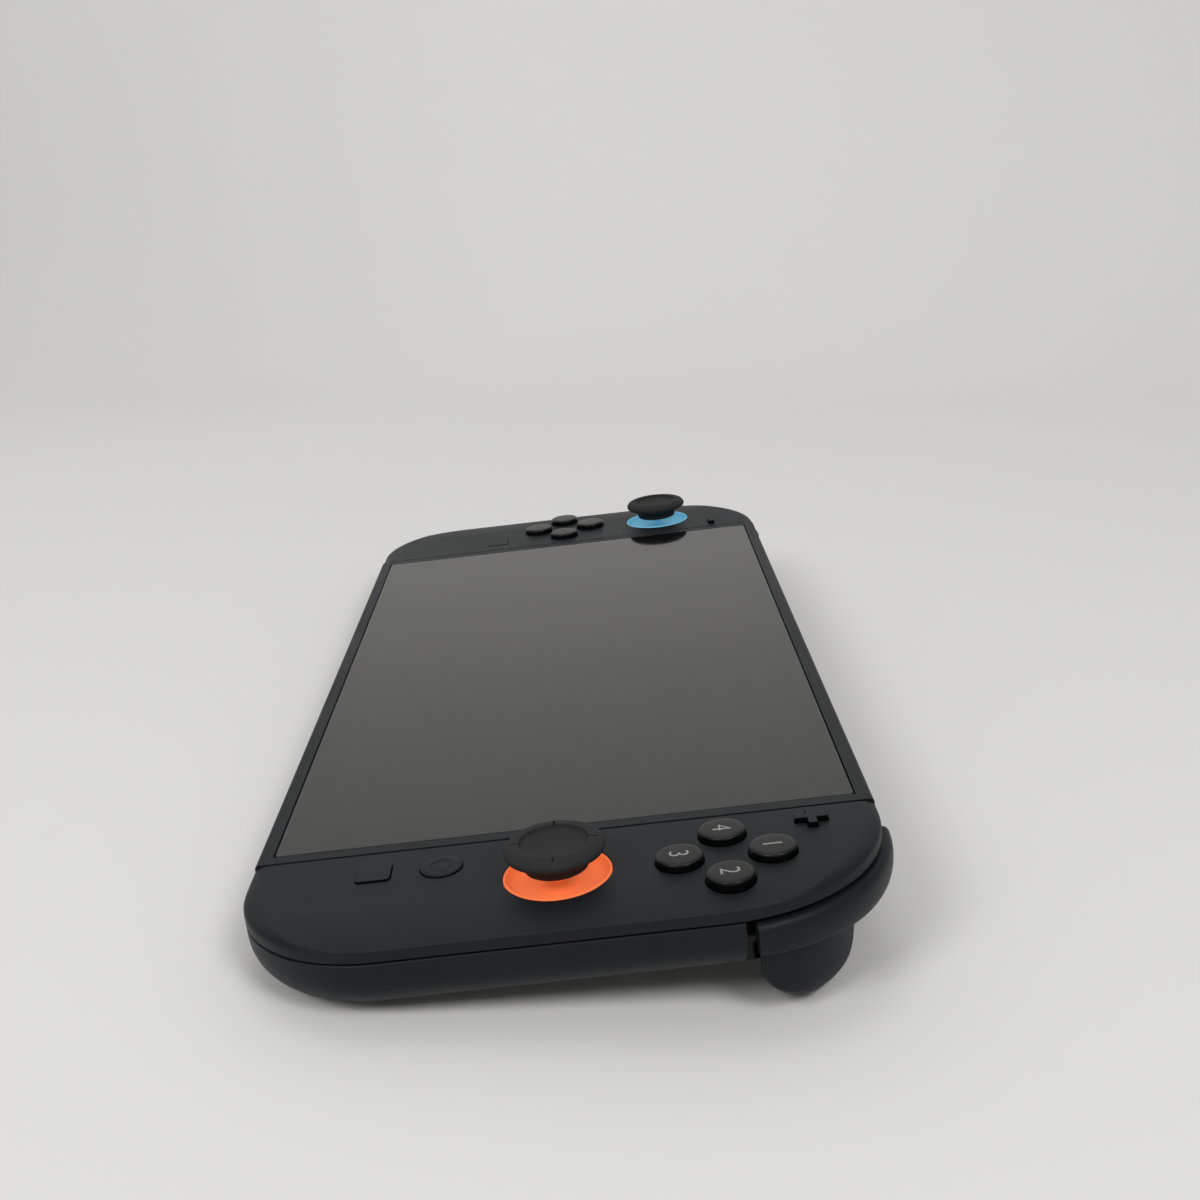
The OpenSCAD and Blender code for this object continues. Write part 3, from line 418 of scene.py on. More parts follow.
class Effect:
    """Surface effects that several finishes share, each a node group that is built once."""

    built: ClassVar[dict[str, bpy.types.NodeTree]] = {}

    @classmethod
    def begin(cls, name: str, inputs: Sequence[str], outputs: Sequence[str]) -> tuple:
        """Start a group with a place input, number inputs and number outputs.

        Args:
            name: The group's name.
            inputs: Names of its number inputs.
            outputs: Names of its number outputs.

        Returns:
            The tree's builder, the group's input node and its output node.
        """
        group = bpy.data.node_groups.new(name, "ShaderNodeTree")
        group.interface.new_socket("Place", in_out="INPUT", socket_type="NodeSocketVector")
        for word in inputs:
            group.interface.new_socket(word, in_out="INPUT", socket_type="NodeSocketFloat")
        for word in outputs:
            group.interface.new_socket(word, in_out="OUTPUT", socket_type="NodeSocketFloat")
        cls.built[name] = group
        tree = Tree(group)
        return tree, group.nodes.new("NodeGroupInput"), group.nodes.new("NodeGroupOutput")

    @classmethod
    def grain(cls) -> bpy.types.NodeTree:
        """Build the fine texture of a moulded surface, with a slow change of tone."""
        if "moulded_grain" not in cls.built:
            tree, source, result = cls.begin("moulded_grain", ["Fineness"], ["Height", "Tone"])
            place = source.outputs["Place"]
            fine = tree.add("TexNoise", {"Vector": place, "Scale": source.outputs["Fineness"], "Detail": 2.0})
            pits = tree.add("TexVoronoi", {"Vector": place, "Scale": source.outputs["Fineness"]})
            height = tree.math("ADD", fine.outputs[0], tree.math("MULTIPLY", pits.outputs[0], 0.6))
            slow = tree.add("TexNoise", {"Vector": place, "Scale": 28.0, "Detail": 4.0, "Roughness": 0.6})
            tree.feed(result, {"Height": height})
            tree.feed(result, {"Tone": tree.spread(slow.outputs[0], 0.3, 0.7, (0.0, 1.0))})
        return cls.built["moulded_grain"]

    @classmethod
    def dust(cls) -> bpy.types.NodeTree:
        """Build a scatter of rare specks."""
        if "dust_specks" not in cls.built:
            tree, source, result = cls.begin("dust_specks", ["Density", "Rarity"], ["Speck"])
            place = source.outputs["Place"]
            cells = tree.add("TexVoronoi", {"Vector": place, "Scale": source.outputs["Density"]})
            chance = tree.add("SeparateColor", {0: cells.outputs["Color"]})
            near = tree.spread(cells.outputs["Distance"], 0.05, 0.11, (1.0, 0.0))
            rare = tree.math("GREATER_THAN", chance.outputs[0], source.outputs["Rarity"])
            tree.feed(result, {"Speck": tree.math("MULTIPLY", near, rare)})
        return cls.built["dust_specks"]

    @classmethod
    def smudge(cls) -> bpy.types.NodeTree:
        """Build the soft patches that handling leaves on a smooth surface."""
        if "smudges" not in cls.built:
            tree, source, result = cls.begin("smudges", ["Spread"], ["Smudge"])
            place = source.outputs["Place"]
            wide = tree.add("TexNoise", {"Vector": place, "Scale": source.outputs["Spread"], "Detail": 3.0,
                                         "Distortion": 0.8})
            fine = tree.add("TexNoise", {"Vector": place, "Scale": 420.0, "Detail": 2.0})
            both = tree.math("MULTIPLY", wide.outputs[0], tree.math("ADD", fine.outputs[0], 0.6))
            tree.feed(result, {"Smudge": tree.spread(both, 0.45, 0.75, (0.0, 1.0))})
        return cls.built["smudges"]


@dataclass(frozen=True)
class Finish:
    """A moulded finish: its colour drifts a little, its texture is real height, and dust lies on it.

    Attributes:
        name: The material's name.
        slot: The record's slot for this finish; not used.
        colour: The base colour.
        roughness: The mean roughness.
        fineness: Grains of the texture to a metre.
        depth: Height of the texture, in metres.
        drift: How far the tone drifts from dark to light.
        rarity: Share of dust cells that stay empty.
        specular: How strongly it mirrors, where 0.5 is common plastic.
        coat: Weight of a clear layer over it.
        metallic: 1 for bare metal.
        sheen: Weight of the soft sheen of rubber.
        glow: Strength of a faint emission, painted light that brightens the bowl where the cap shades it.
    """

    name: str
    slot: str
    colour: Triple
    roughness: float
    fineness: float = 3600.0
    depth: float = 0.00002
    drift: float = 0.18
    rarity: float = 0.985
    specular: float = 0.5
    coat: float = 0.0
    metallic: float = 0.0
    sheen: float = 0.0
    glow: float = 0.0

    def start(self) -> tuple[bpy.types.Material, Tree, bpy.types.Node, bpy.types.NodeSocket]:
        """Make an empty material with its shader and its place on the object.

        Returns:
            The material, its builder, its shader node and the object coordinates.
        """
        material = bpy.data.materials.new(self.name)
        material.use_nodes = True
        tree = Tree(material.node_tree)
        shader = material.node_tree.nodes["Principled BSDF"]
        shader.inputs["Roughness"].default_value = self.roughness
        shader.inputs["Metallic"].default_value = self.metallic
        shader.inputs["Specular IOR Level"].default_value = self.specular
        shader.inputs["Coat Weight"].default_value = self.coat
        shader.inputs["Coat Roughness"].default_value = 0.12
        shader.inputs["Emission Strength"].default_value = self.glow
        shader.inputs["Sheen Weight"].default_value = self.sheen
        shader.inputs["Sheen Roughness"].default_value = 0.5
        return material, tree, shader, tree.add("TexCoord").outputs["Object"]

    def group(self, tree: Tree, effect: bpy.types.NodeTree, place: bpy.types.NodeSocket,
              **values: float) -> bpy.types.Node:
        """Place a shared effect in a material with its own values."""
        node = tree.add("Group", node_tree=effect)
        tree.feed(node, {"Place": place})
        for key, value in values.items():
            node.inputs[key].default_value = value
        return node

    def shade(self, share: float) -> tuple[float, float, float, float]:
        """Give the base colour, lighter or darker by a share."""
        return tuple(min(1.0, c * (1 + share)) for c in self.colour) + (1.0,)

    def bump(self, tree: Tree, shader: bpy.types.Node, height: bpy.types.NodeSocket) -> None:
        """Give the shader the texture's height."""
        node = tree.add("Bump", {"Strength": 0.7, "Distance": self.depth, "Height": height})
        tree.feed(shader, {"Normal": node.outputs[0]})

    def material(self) -> bpy.types.Material:
        """Build the material, or give the one that was built before."""
        known = bpy.data.materials.get(self.name)
        return known or self.build()

    def build(self) -> bpy.types.Material:
        """Build the moulded material."""
        material, tree, shader, place = self.start()
        grain = self.group(tree, Effect.grain(), place, Fineness=self.fineness)
        dust = self.group(tree, Effect.dust(), place, Density=260.0, Rarity=self.rarity)
        tone = tree.blend(grain.outputs["Tone"], self.shade(-self.drift), self.shade(self.drift))
        dusty = tree.math("MULTIPLY", dust.outputs["Speck"], 0.5)
        colour = tree.blend(dusty, tone, (0.42, 0.41, 0.39, 1.0))
        rough = tree.spread(grain.outputs["Tone"], 0.0, 1.0, (self.roughness - 0.05, self.roughness + 0.05))
        tree.feed(shader, {"Base Color": colour})
        # The emission takes the base colour, so a finish with emission paints light in its own colour.
        tree.feed(shader, {"Emission Color": colour})
        tree.feed(shader, {"Roughness": rough})
        self.bump(tree, shader, grain.outputs["Height"])
        return material


@dataclass(frozen=True)
class GlassFinish(Finish):
    """Dark cover glass over an unlit display, with faint smudges.

    Attributes:
        lit_size: Width and height of the display's picture, in metres.
        picture: Base colour over the picture.
    """

    lit_size: Pair = (0.1749, 0.0984)
    picture: Triple = (0.006, 0.0062, 0.0066)

    def build(self) -> bpy.types.Material:
        """Build the glass, with the picture a shade lighter than its border."""
        material, tree, shader, place = self.start()
        axes = tree.add("SeparateXYZ", {0: place})
        inside = []
        for axis, size in zip(axes.outputs, self.lit_size):
            reach = tree.math("ABSOLUTE", axis)
            inside.append(tree.spread(reach, size / 2 - 0.0001, size / 2, (1.0, 0.0)))
        window = tree.math("MULTIPLY", *inside)
        colour = tree.blend(window, self.shade(0.0), self.picture + (1.0,))
        smudge = self.group(tree, Effect.smudge(), place, Spread=16.0)
        dust = self.group(tree, Effect.dust(), place, Density=150.0, Rarity=self.rarity)
        dusty = tree.math("MULTIPLY", dust.outputs["Speck"], 0.35)
        tree.feed(shader, {"Base Color": tree.blend(dusty, colour, (0.4, 0.4, 0.4, 1.0))})
        rough = tree.spread(smudge.outputs["Smudge"], 0.0, 1.0, (self.roughness, self.roughness + 0.05))
        tree.feed(shader, {"Roughness": rough})
        return material


@dataclass(frozen=True)
class MetalFinish(Finish):
    """Bare metal with fine lines along one axis.

    Attributes:
        lines: Scale of the pattern on X, Y and Z, so that it is drawn out into lines.
    """

    lines: Triple = (60.0, 2600.0, 2600.0)

    def build(self) -> bpy.types.Material:
        """Build the brushed metal."""
        material, tree, shader, place = self.start()
        drawn = tree.add("Mapping", {"Vector": place, "Scale": self.lines})
        brushed = tree.add("TexNoise", {"Vector": drawn.outputs[0], "Scale": 1.0, "Detail": 3.0})
        grain = self.group(tree, Effect.grain(), place, Fineness=self.fineness)
        tone = tree.blend(grain.outputs["Tone"], self.shade(-self.drift), self.shade(self.drift))
        rough = tree.spread(brushed.outputs[0], 0.3, 0.7, (self.roughness - 0.08, self.roughness + 0.1))
        tree.feed(shader, {"Base Color": tone})
        tree.feed(shader, {"Roughness": rough})
        self.bump(tree, shader, brushed.outputs[0])
        return material


@dataclass(frozen=True)
class BoardFinish(Finish):
    """Solder mask with tracks under it and small pads of bare metal."""

    def build(self) -> bpy.types.Material:
        """Build the circuit board."""
        material, tree, shader, place = self.start()
        tracks = tree.add("TexBrick", {"Vector": place, "Scale": 220.0, "Mortar Size": 0.12,
                                       "Color1": self.shade(0.0), "Color2": self.shade(0.35),
                                       "Mortar": self.shade(1.4)})
        pads = self.group(tree, Effect.dust(), place, Density=420.0, Rarity=0.8)
        grain = self.group(tree, Effect.grain(), place, Fineness=self.fineness)
        colour = tree.blend(pads.outputs["Speck"], tracks.outputs["Color"], (0.62, 0.5, 0.26, 1.0))
        tree.feed(shader, {"Base Color": colour})
        tree.feed(shader, {"Metallic": pads.outputs["Speck"]})
        self.bump(tree, shader, grain.outputs["Height"])
        return material


SHELL = Finish("charcoal_shell", "shell", (0.0078, 0.0094, 0.012), 0.48, specular=0.18)
FRAME_PLASTIC = Finish("charcoal_frame", "shell", (0.008, 0.0093, 0.0114), 0.46, specular=0.18)
STAND_PAINT = Finish("charcoal_paint", "stand", (0.012, 0.013, 0.0145), 0.42, fineness=4200.0, depth=0.00001,
                     specular=0.25)
BUTTON = Finish("button_black", "button", (0.011, 0.0113, 0.0116), 0.3, depth=0.000006, rarity=0.992,
                specular=0.22)
# Glossy black for the upright sides of buttons, glossy like the real sides but darker, as painted shade in
# the gaps round them; it also paints shade into the rear shell's pocket.
GLOSS_BLACK_AND_PAINTED_SHADE = Finish("gloss_black", "button", (0.0015, 0.0016, 0.0017), 0.2, depth=0.000004, rarity=0.999,
               specular=0.2)
MARK = Finish("mark_grey", "button", (0.3, 0.31, 0.31), 0.5, depth=0.000004, rarity=0.999)
DIM_MARK = Finish("mark_dim", "button", (0.03, 0.031, 0.032), 0.45, depth=0.000004, rarity=0.999)
RUBBER = Finish("stick_rubber", "stick_rubber", (0.0072, 0.0078, 0.0078), 0.56, fineness=2600.0,
                depth=0.00002, specular=0.18, sheen=0.02)
ORANGE = Finish("orange_plastic", "orange", (0.98, 0.2, 0.06), 0.5, depth=0.000008, drift=0.03, specular=0.15)
BLUE = Finish("blue_plastic", "light_blue", (0.19, 0.53, 0.74), 0.5, depth=0.000008, drift=0.03,
              specular=0.15)
# The rings emit faintly: painted light that brightens the bowls where the caps shade them.
RING_ORANGE_PAINTED_GLOW = replace(ORANGE, name="orange_ring_painted_glow", glow=0.38)
RING_BLUE_PAINTED_GLOW = replace(BLUE, name="blue_ring_painted_glow", glow=0.28)
DARK = Finish("dark_plastic", "dark_plastic", (0.01, 0.01, 0.011), 0.5)
SILICONE = Finish("grey_silicone", "silicone", (0.1, 0.11, 0.12), 0.7, depth=0.00001, sheen=0.1)
PANEL = Finish("display_back", "panel", (0.02, 0.02, 0.022), 0.3, depth=0.000006)
GLASS = GlassFinish("cover_glass", "glass", (0.0035, 0.0036, 0.0038), 0.035, rarity=0.993, specular=0.55)
STEEL = MetalFinish("brushed_steel", "steel", (0.47, 0.48, 0.49), 0.3, depth=0.000004, metallic=1.0)
CELL = MetalFinish("cell_foil", "cell", (0.42, 0.43, 0.45), 0.38, depth=0.00001, metallic=1.0)
COPPER = MetalFinish("bare_copper", "copper", (0.72, 0.32, 0.18), 0.3, depth=0.000005, metallic=1.0)
BOARD = BoardFinish("solder_mask", "board", (0.008, 0.055, 0.026), 0.35, coat=0.3)


def settle(piece: Piece, finish: Finish, body: str, nodes: Sequence[str] = (), side: Side = Side.RIGHT,
           angle: float = 32.0) -> Piece:
    """Bring a finished piece to its place and dress it.

    Args:
        piece: The piece, in millimetres.
        finish: Its finish.
        body: The body that it moves with.
        nodes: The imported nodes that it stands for.
        side: The controller that it belongs to.
        angle: The sharpest edge that is still shaded smooth.

    Returns:
        The same piece.
    """
    piece.scale = (side.value * MM, MM, MM)
    fix_place(piece)
    if side is Side.LEFT:
        open_piece(piece)
        pick_all()
        bpy.ops.mesh.normals_make_consistent(inside=False)
        take(piece)
    bpy.ops.object.shade_smooth_by_angle(angle=math.radians(angle))
    even = piece.modifiers.new("even", "WEIGHTED_NORMAL")
    even.keep_sharp = True
    bpy.ops.object.modifier_apply(modifier=even.name)
    piece.data.materials.clear()
    piece.data.materials.append(finish.material())
    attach(piece, body)
    if nodes:
        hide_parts(*nodes)
    LOG.info("piece %s rides on %s", piece.name, body)
    return piece


def stands(face: bmesh.types.BMFace) -> bool:
    """Tell whether a face stands upright."""
    return abs(face.normal.z) < 0.6


def dress_faces(piece: Piece, finish: Finish, test: Callable[[bmesh.types.BMFace], bool] = stands) -> None:
    """Give some faces of a settled piece a finish of their own.

    Args:
        piece: The piece.
        finish: The second finish.
        test: Tells which faces take it.
    """
    piece.data.materials.append(finish.material())
    open_piece(piece)
    pick(Part.FACE, test)
    piece.active_material_index = len(piece.data.materials) - 1
    bpy.ops.object.material_slot_assign()
    take(piece)


def dress_copy(node: str, name: str, finish: Finish, body: str, width: float, steps: int = 2) -> None:
    """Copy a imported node, soften the copy and dress it.

    Args:
        node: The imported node.
        name: The copy's name.
        finish: Its finish.
        body: The body that it moves with.
        width: Radius of its edges.
        steps: How many faces go round an edge.
    """
    piece = copy_node(node, name)
    soften(piece, width, steps, 40.0)
    settle(piece, finish, body, [node])


# Sub-assemblies


@dataclass
class Shells:
    """The front and rear shells of one controller.

    Attributes:
        side: The controller.
        end_x, edge_y: Reach of the outline along X and Y.
        seam_x: Where the shell meets the tablet.
        top_r, low_r: Radii of the upper and lower corners.
        seam_z: Height of the parting line.
        face_z: Height of the front face.
        wall: Thickness of the shells.
        rear_round: Radius of the rear edge.
        groove: Depth of each half of the groove at the parting line.
        seam_gap: How far the front face stops short of the seam.
        overrun: How far an outline runs past the seam before it is trimmed.
        rim_round: Radius of the rims of the openings.
        slope_x, slope_drop: Where the face starts to fall towards the end, and how far it falls.
        crown: The front edge, as (distance in, height) points from the parting line up.
    """

    side: Side
    end_x: float = 136.0
    edge_y: float = 58.0
    seam_x: float = 101.6
    top_r: float = 31.0
    low_r: float = 26.0
    seam_z: float = 10.6
    face_z: float = 13.9
    wall: float = 1.4
    rear_round: float = 8.4
    groove: float = 0.16
    seam_gap: float = 0.3
    overrun: float = 20.0
    rim_round: float = 0.18
    slope_x: float = 122.0
    slope_drop: float = 1.1
    crown: tuple[Pair, ...] = (
        (0.0, 12.35), (0.04, 12.62), (0.14, 12.88), (0.32, 13.11), (0.6, 13.33), (1.05, 13.55),
        (1.65, 13.72), (2.4, 13.84), (3.3, 13.9),
    )

    def outline(self, name: str, inset: float, z: float) -> Piece:
        """Draw a controller's outline as a sheet that runs past the tablet's end.

        Args:
            name: The piece's name.
            inset: Distance in from the outer faces.
            z: The sheet's height.

        Returns:
            The sheet, selected in edit mode.
        """
        first = self.seam_x - self.overrun
        size = (self.end_x - inset - first, 2 * (self.edge_y - inset))
        middle = (self.end_x - inset + first) / 2
        piece = start_sheet(name, size, (middle, 0, z))
        round_corners(self.top_r - inset, 28, lambda v: v.co.x > middle and v.co.y > self.edge_y / 2)
        round_corners(self.low_r - inset, 28, lambda v: v.co.x > middle and v.co.y < -self.edge_y / 2 and
                      v.co.x > self.end_x - inset - NEAR)
        return piece

    def trim(self, x: float) -> None:
        """Cut the open piece off square at one place along X, and close it."""
        pick_all()
        bpy.ops.mesh.bisect(plane_co=(x, 0, 0), plane_no=(1, 0, 0), use_fill=True, clear_inner=True)
        close_up()

    def build_front(self, openings: Sequence[Piece]) -> Piece:
        """Model the front shell and cut the openings for its controls.

        Args:
            openings: Solids that cut the openings, on the right side.

        Returns:
            The finished shell.
        """
        band = self.seam_z + 2 * self.groove
        piece = self.outline("front_shell_" + self.side.word, 0.0, band)
        lift(self.crown[0][1] - band)
        step_in(self.crown)
        close_up()
        carve(piece, [self.slope()], Cut.SHARED)
        open_piece(piece)
        pick(Part.FACE, facing(-1, band))
        step_in([(0, 0), (self.groove, self.groove), (self.wall, self.groove)])
        lift(self.face_z - self.wall - self.slope_drop - self.seam_z - self.groove)
        self.trim(self.seam_x + self.seam_gap)
        carve(piece, openings)
        open_piece(piece)
        pick(Part.EDGE, self.is_rim)
        bpy.ops.mesh.bevel(offset=self.rim_round, segments=2, profile=0.5, affect="EDGES")
        close_up()
        return settle(piece, SHELL, self.side.node("controller"), [self.side.node("front_shell")], self.side)

    def slope(self) -> Piece:
        """Make a solid whose top falls gently towards the controller's end."""
        spare, steps = 4, 12
        reach, run = self.end_x - self.slope_x, self.end_x + spare - self.slope_x
        path = [(60.0, 0.0), (60.0, self.face_z + 0.5), (self.slope_x - spare, self.face_z + 0.05)]
        for step in range(1, steps + 1):
            out = run * step / steps
            path.append((self.slope_x + out, self.face_z - self.slope_drop * (out / reach) ** 2))
        path.append((self.end_x + spare, 0.0))
        piece = trace("slope", [*path, path[0]])
        bpy.ops.mesh.remove_doubles(threshold=MERGE)
        pick_all()
        bpy.ops.mesh.edge_face_add()
        push((0, FAR, 0))
        pick_all()
        bpy.ops.transform.translate(value=(0, -FAR / 2, 0))
        close_up()
        return piece

    def is_rim(self, edge: bmesh.types.BMEdge) -> bool:
        """Say whether an edge is the upper rim of an opening or of the end at the tablet."""
        high = all(v.co.z > self.face_z - 1.0 for v in edge.verts)
        if not high or len(edge.link_faces) != 2:
            return False
        return edge.calc_face_angle(0.0) > math.radians(60)

    def rear_path(self, inset: float) -> list[Pair]:
        """Give the rear edge as (distance in, depth below the round's start) points."""
        r = self.rear_round - inset
        steps = [math.radians(a) for a in range(0, 91, 6)]
        return [(r - r * math.cos(a), r * math.sin(a)) for a in steps]

    def rear_form(self, name: str, inset: float, back: float) -> Piece:
        """Model the rear shell's outer form, or the form of its hollow.

        Args:
            name: The piece's name.
            inset: Distance in from the outer faces.
            back: How far the form runs past the tablet's end.

        Returns:
            The closed solid.
        """
        top = self.seam_z - 2 * self.groove if inset == 0 else self.seam_z + 1
        piece = self.outline(name, inset, top)
        bpy.ops.mesh.flip_normals()
        lift(self.rear_round - top)
        step_in(self.rear_path(inset))
        if inset == 0:
            pick(Part.FACE, facing(1, top))
            step_in([(0, 0), (self.groove, self.groove)])
        self.trim(self.seam_x - back)
        return piece

    def build_rear(self, pocket: Callable[[float], Sequence[Piece]]) -> Piece:
        """Model the rear shell, hollow, with the pocket for the shoulder button and the trigger.

        Args:
            pocket: Makes the solids of the pocket, grown by a distance.

        Returns:
            The finished shell.
        """
        piece = self.rear_form("rear_shell_" + self.side.word, 0.0, 0.0)
        hollow = self.rear_form("hollow", self.wall, 1.0)
        for tool in pocket(1.2):
            carve(hollow, [tool])
        carve(piece, [hollow])
        for tool in pocket(0.0):
            carve(piece, [tool])
        carve(piece, [slab("lever_hole", (8.1, 5.5, 4.0), (108.5, 42.0), -1.0, 0.2)])
        soften(piece, 0.12, 2, 50.0)
        return settle(piece, SHELL, self.side.node("controller"), [self.side.node("rear_shell")], self.side)


@dataclass
class Stick:
    """One thumbstick: its coloured ring, dome and shaft, and rubber cap.

    Attributes:
        side: The controller.
        pivot_z: Height of the tilt axes.
        face_z: Height of the shell's face.
        ring_r: Outer radius of the ring.
        seat_gap: Gap between the ring and the shell.
        cap_r, cap_z: Radius of the cap and height of its rim.
        dome_r, shaft_r: Radii of the dome and the shaft.
        notch: Length, width and height of a grip notch, and its distance from the axis.
    """

    side: Side
    pivot_z: float = 7.0
    face_z: float = 13.9
    ring_r: float = 9.7
    seat_gap: float = 0.1
    cap_r: float = 9.05
    cap_z: float = 20.3
    dome_r: float = 5.71
    shaft_r: float = 1.3
    notch: tuple[float, float, float, float] = (1.9, 0.42, 2.0, 7.0)

    @property
    def place(self) -> Pair:
        """Give the stick's axis, on the right side."""
        return (117.1, -0.9 if self.side is Side.RIGHT else 28.9)

    def opening(self) -> Piece:
        """Make the solid that cuts the ring's seat in the shell."""
        return bore(self.place, self.ring_r + self.seat_gap)

    def build(self) -> None:
        """Model and dress the ring, the dome with its shaft, and the cap."""
        finish = RING_ORANGE_PAINTED_GLOW if self.side is Side.RIGHT else RING_BLUE_PAINTED_GLOW
        self.build_ring(finish)
        first = math.degrees(math.asin(self.shaft_r / self.dome_r))
        angles = [math.radians(first + (59.4 - first) * i / 12) for i in range(13)]
        arc = [(math.sin(a), math.cos(a)) for a in angles]
        dome = [(self.dome_r * x, self.pivot_z + self.dome_r * z) for x, z in arc]
        under = self.dome_r - 0.8
        inner = [(under * x, self.pivot_z + under * z) for x, z in reversed(arc[3:])]
        path = [(0, 17.6), (self.shaft_r - 0.2, 17.6), (self.shaft_r, 17.4), *dome, *inner,
                (self.shaft_r, 11.0), (self.shaft_r, 5.6), (self.shaft_r - 0.3, 5.4), (0, 5.4)]
        piece = turn("stick_dome_" + self.side.word, path, self.place)
        # The dome takes the ring's colour with three quarters of its emission: painted light under the cap.
        dome_painted_glow = replace(finish, name=finish.name + "_dome", glow=0.75 * finish.glow)
        node = self.side.node("stick_shaft")
        settle(piece, dome_painted_glow, node, [node], self.side)
        self.build_cap()

    def build_ring(self, finish: Finish) -> None:
        """Model and dress the ring, a shallow bowl that runs in under the cap."""
        r, z = self.ring_r, self.face_z
        bowl = [(0, 0.12), (0.05, 0.02), (0.16, -0.03), (0.28, 0), (0.42, 0.12), (0.66, 0.56), (0.93, 1.06),
                (1.25, 1.4), (1.75, 1.66), (2.5, 1.88), (3.5, 2.07), (4.7, 2.24)]
        path = [(r - inward, z - drop) for inward, drop in bowl]
        path += [(4.2, z - 2.34), (3.8, z - 2.4), (3.6, z - 2.44), (3.6, z - 2.5), (r + 0.9, z - 2.5),
                 (r + 0.9, z - 1.5), (r, z - 1.5)]
        piece = turn("stick_ring_form_" + self.side.word, [*path, path[0]], self.place, 128)
        # The ring's finish emits faintly: painted light in the bowl under the cap.
        settle(piece, finish, self.side.node("controller"), [self.side.node("stick_ring")], self.side)

    def build_cap(self) -> None:
        """Model and dress the cap, with its dish, its round rim and four grip notches."""
        r, z = self.cap_r, self.cap_z
        dish = [(0, 0.9), (2.0, 0.88), (4.0, 0.81), (5.2, 0.72), (5.8, 0.64), (6.0, 0.56), (6.07, 0.4),
                (6.11, 0.16), (6.18, 0.05), (6.32, 0)]
        rim = [(6.9, 0), (7.5, 0.06), (8.0, 0.2), (8.45, 0.45), (8.8, 0.8), (9.0, 1.18), (r, 1.5),
               (8.98, 1.85), (8.75, 2.15), (8.35, 2.4), (7.7, 2.6), (6.9, 2.75), (6.3, 2.95)]
        skirt = [(6.0, 3.3), (5.86, 4.2), (5.8, 4.8), (5.72, 5.03), (5.45, 5.2), (4.9, 5.2), (4.9, 3.9),
                 (0, 3.9)]
        path = [(out, z - drop) for out, drop in dish + rim + skirt]
        piece = turn("stick_cap_form_" + self.side.word, path, self.place, 128)
        notches = []
        long, short, high, away = self.notch
        for quarter in range(4):
            angle = quarter * math.pi / 2
            x = self.place[0] + away * math.cos(angle)
            y = self.place[1] + away * math.sin(angle)
            size = (long, short, high) if quarter % 2 == 0 else (short, long, high)
            notches.append(slab("notch", size, (x, y), z - 0.5, 0.2))
        carve(piece, notches)
        settle(piece, RUBBER, self.side.node("stick_cap"), [self.side.node("stick_cap")], self.side, 40.0)


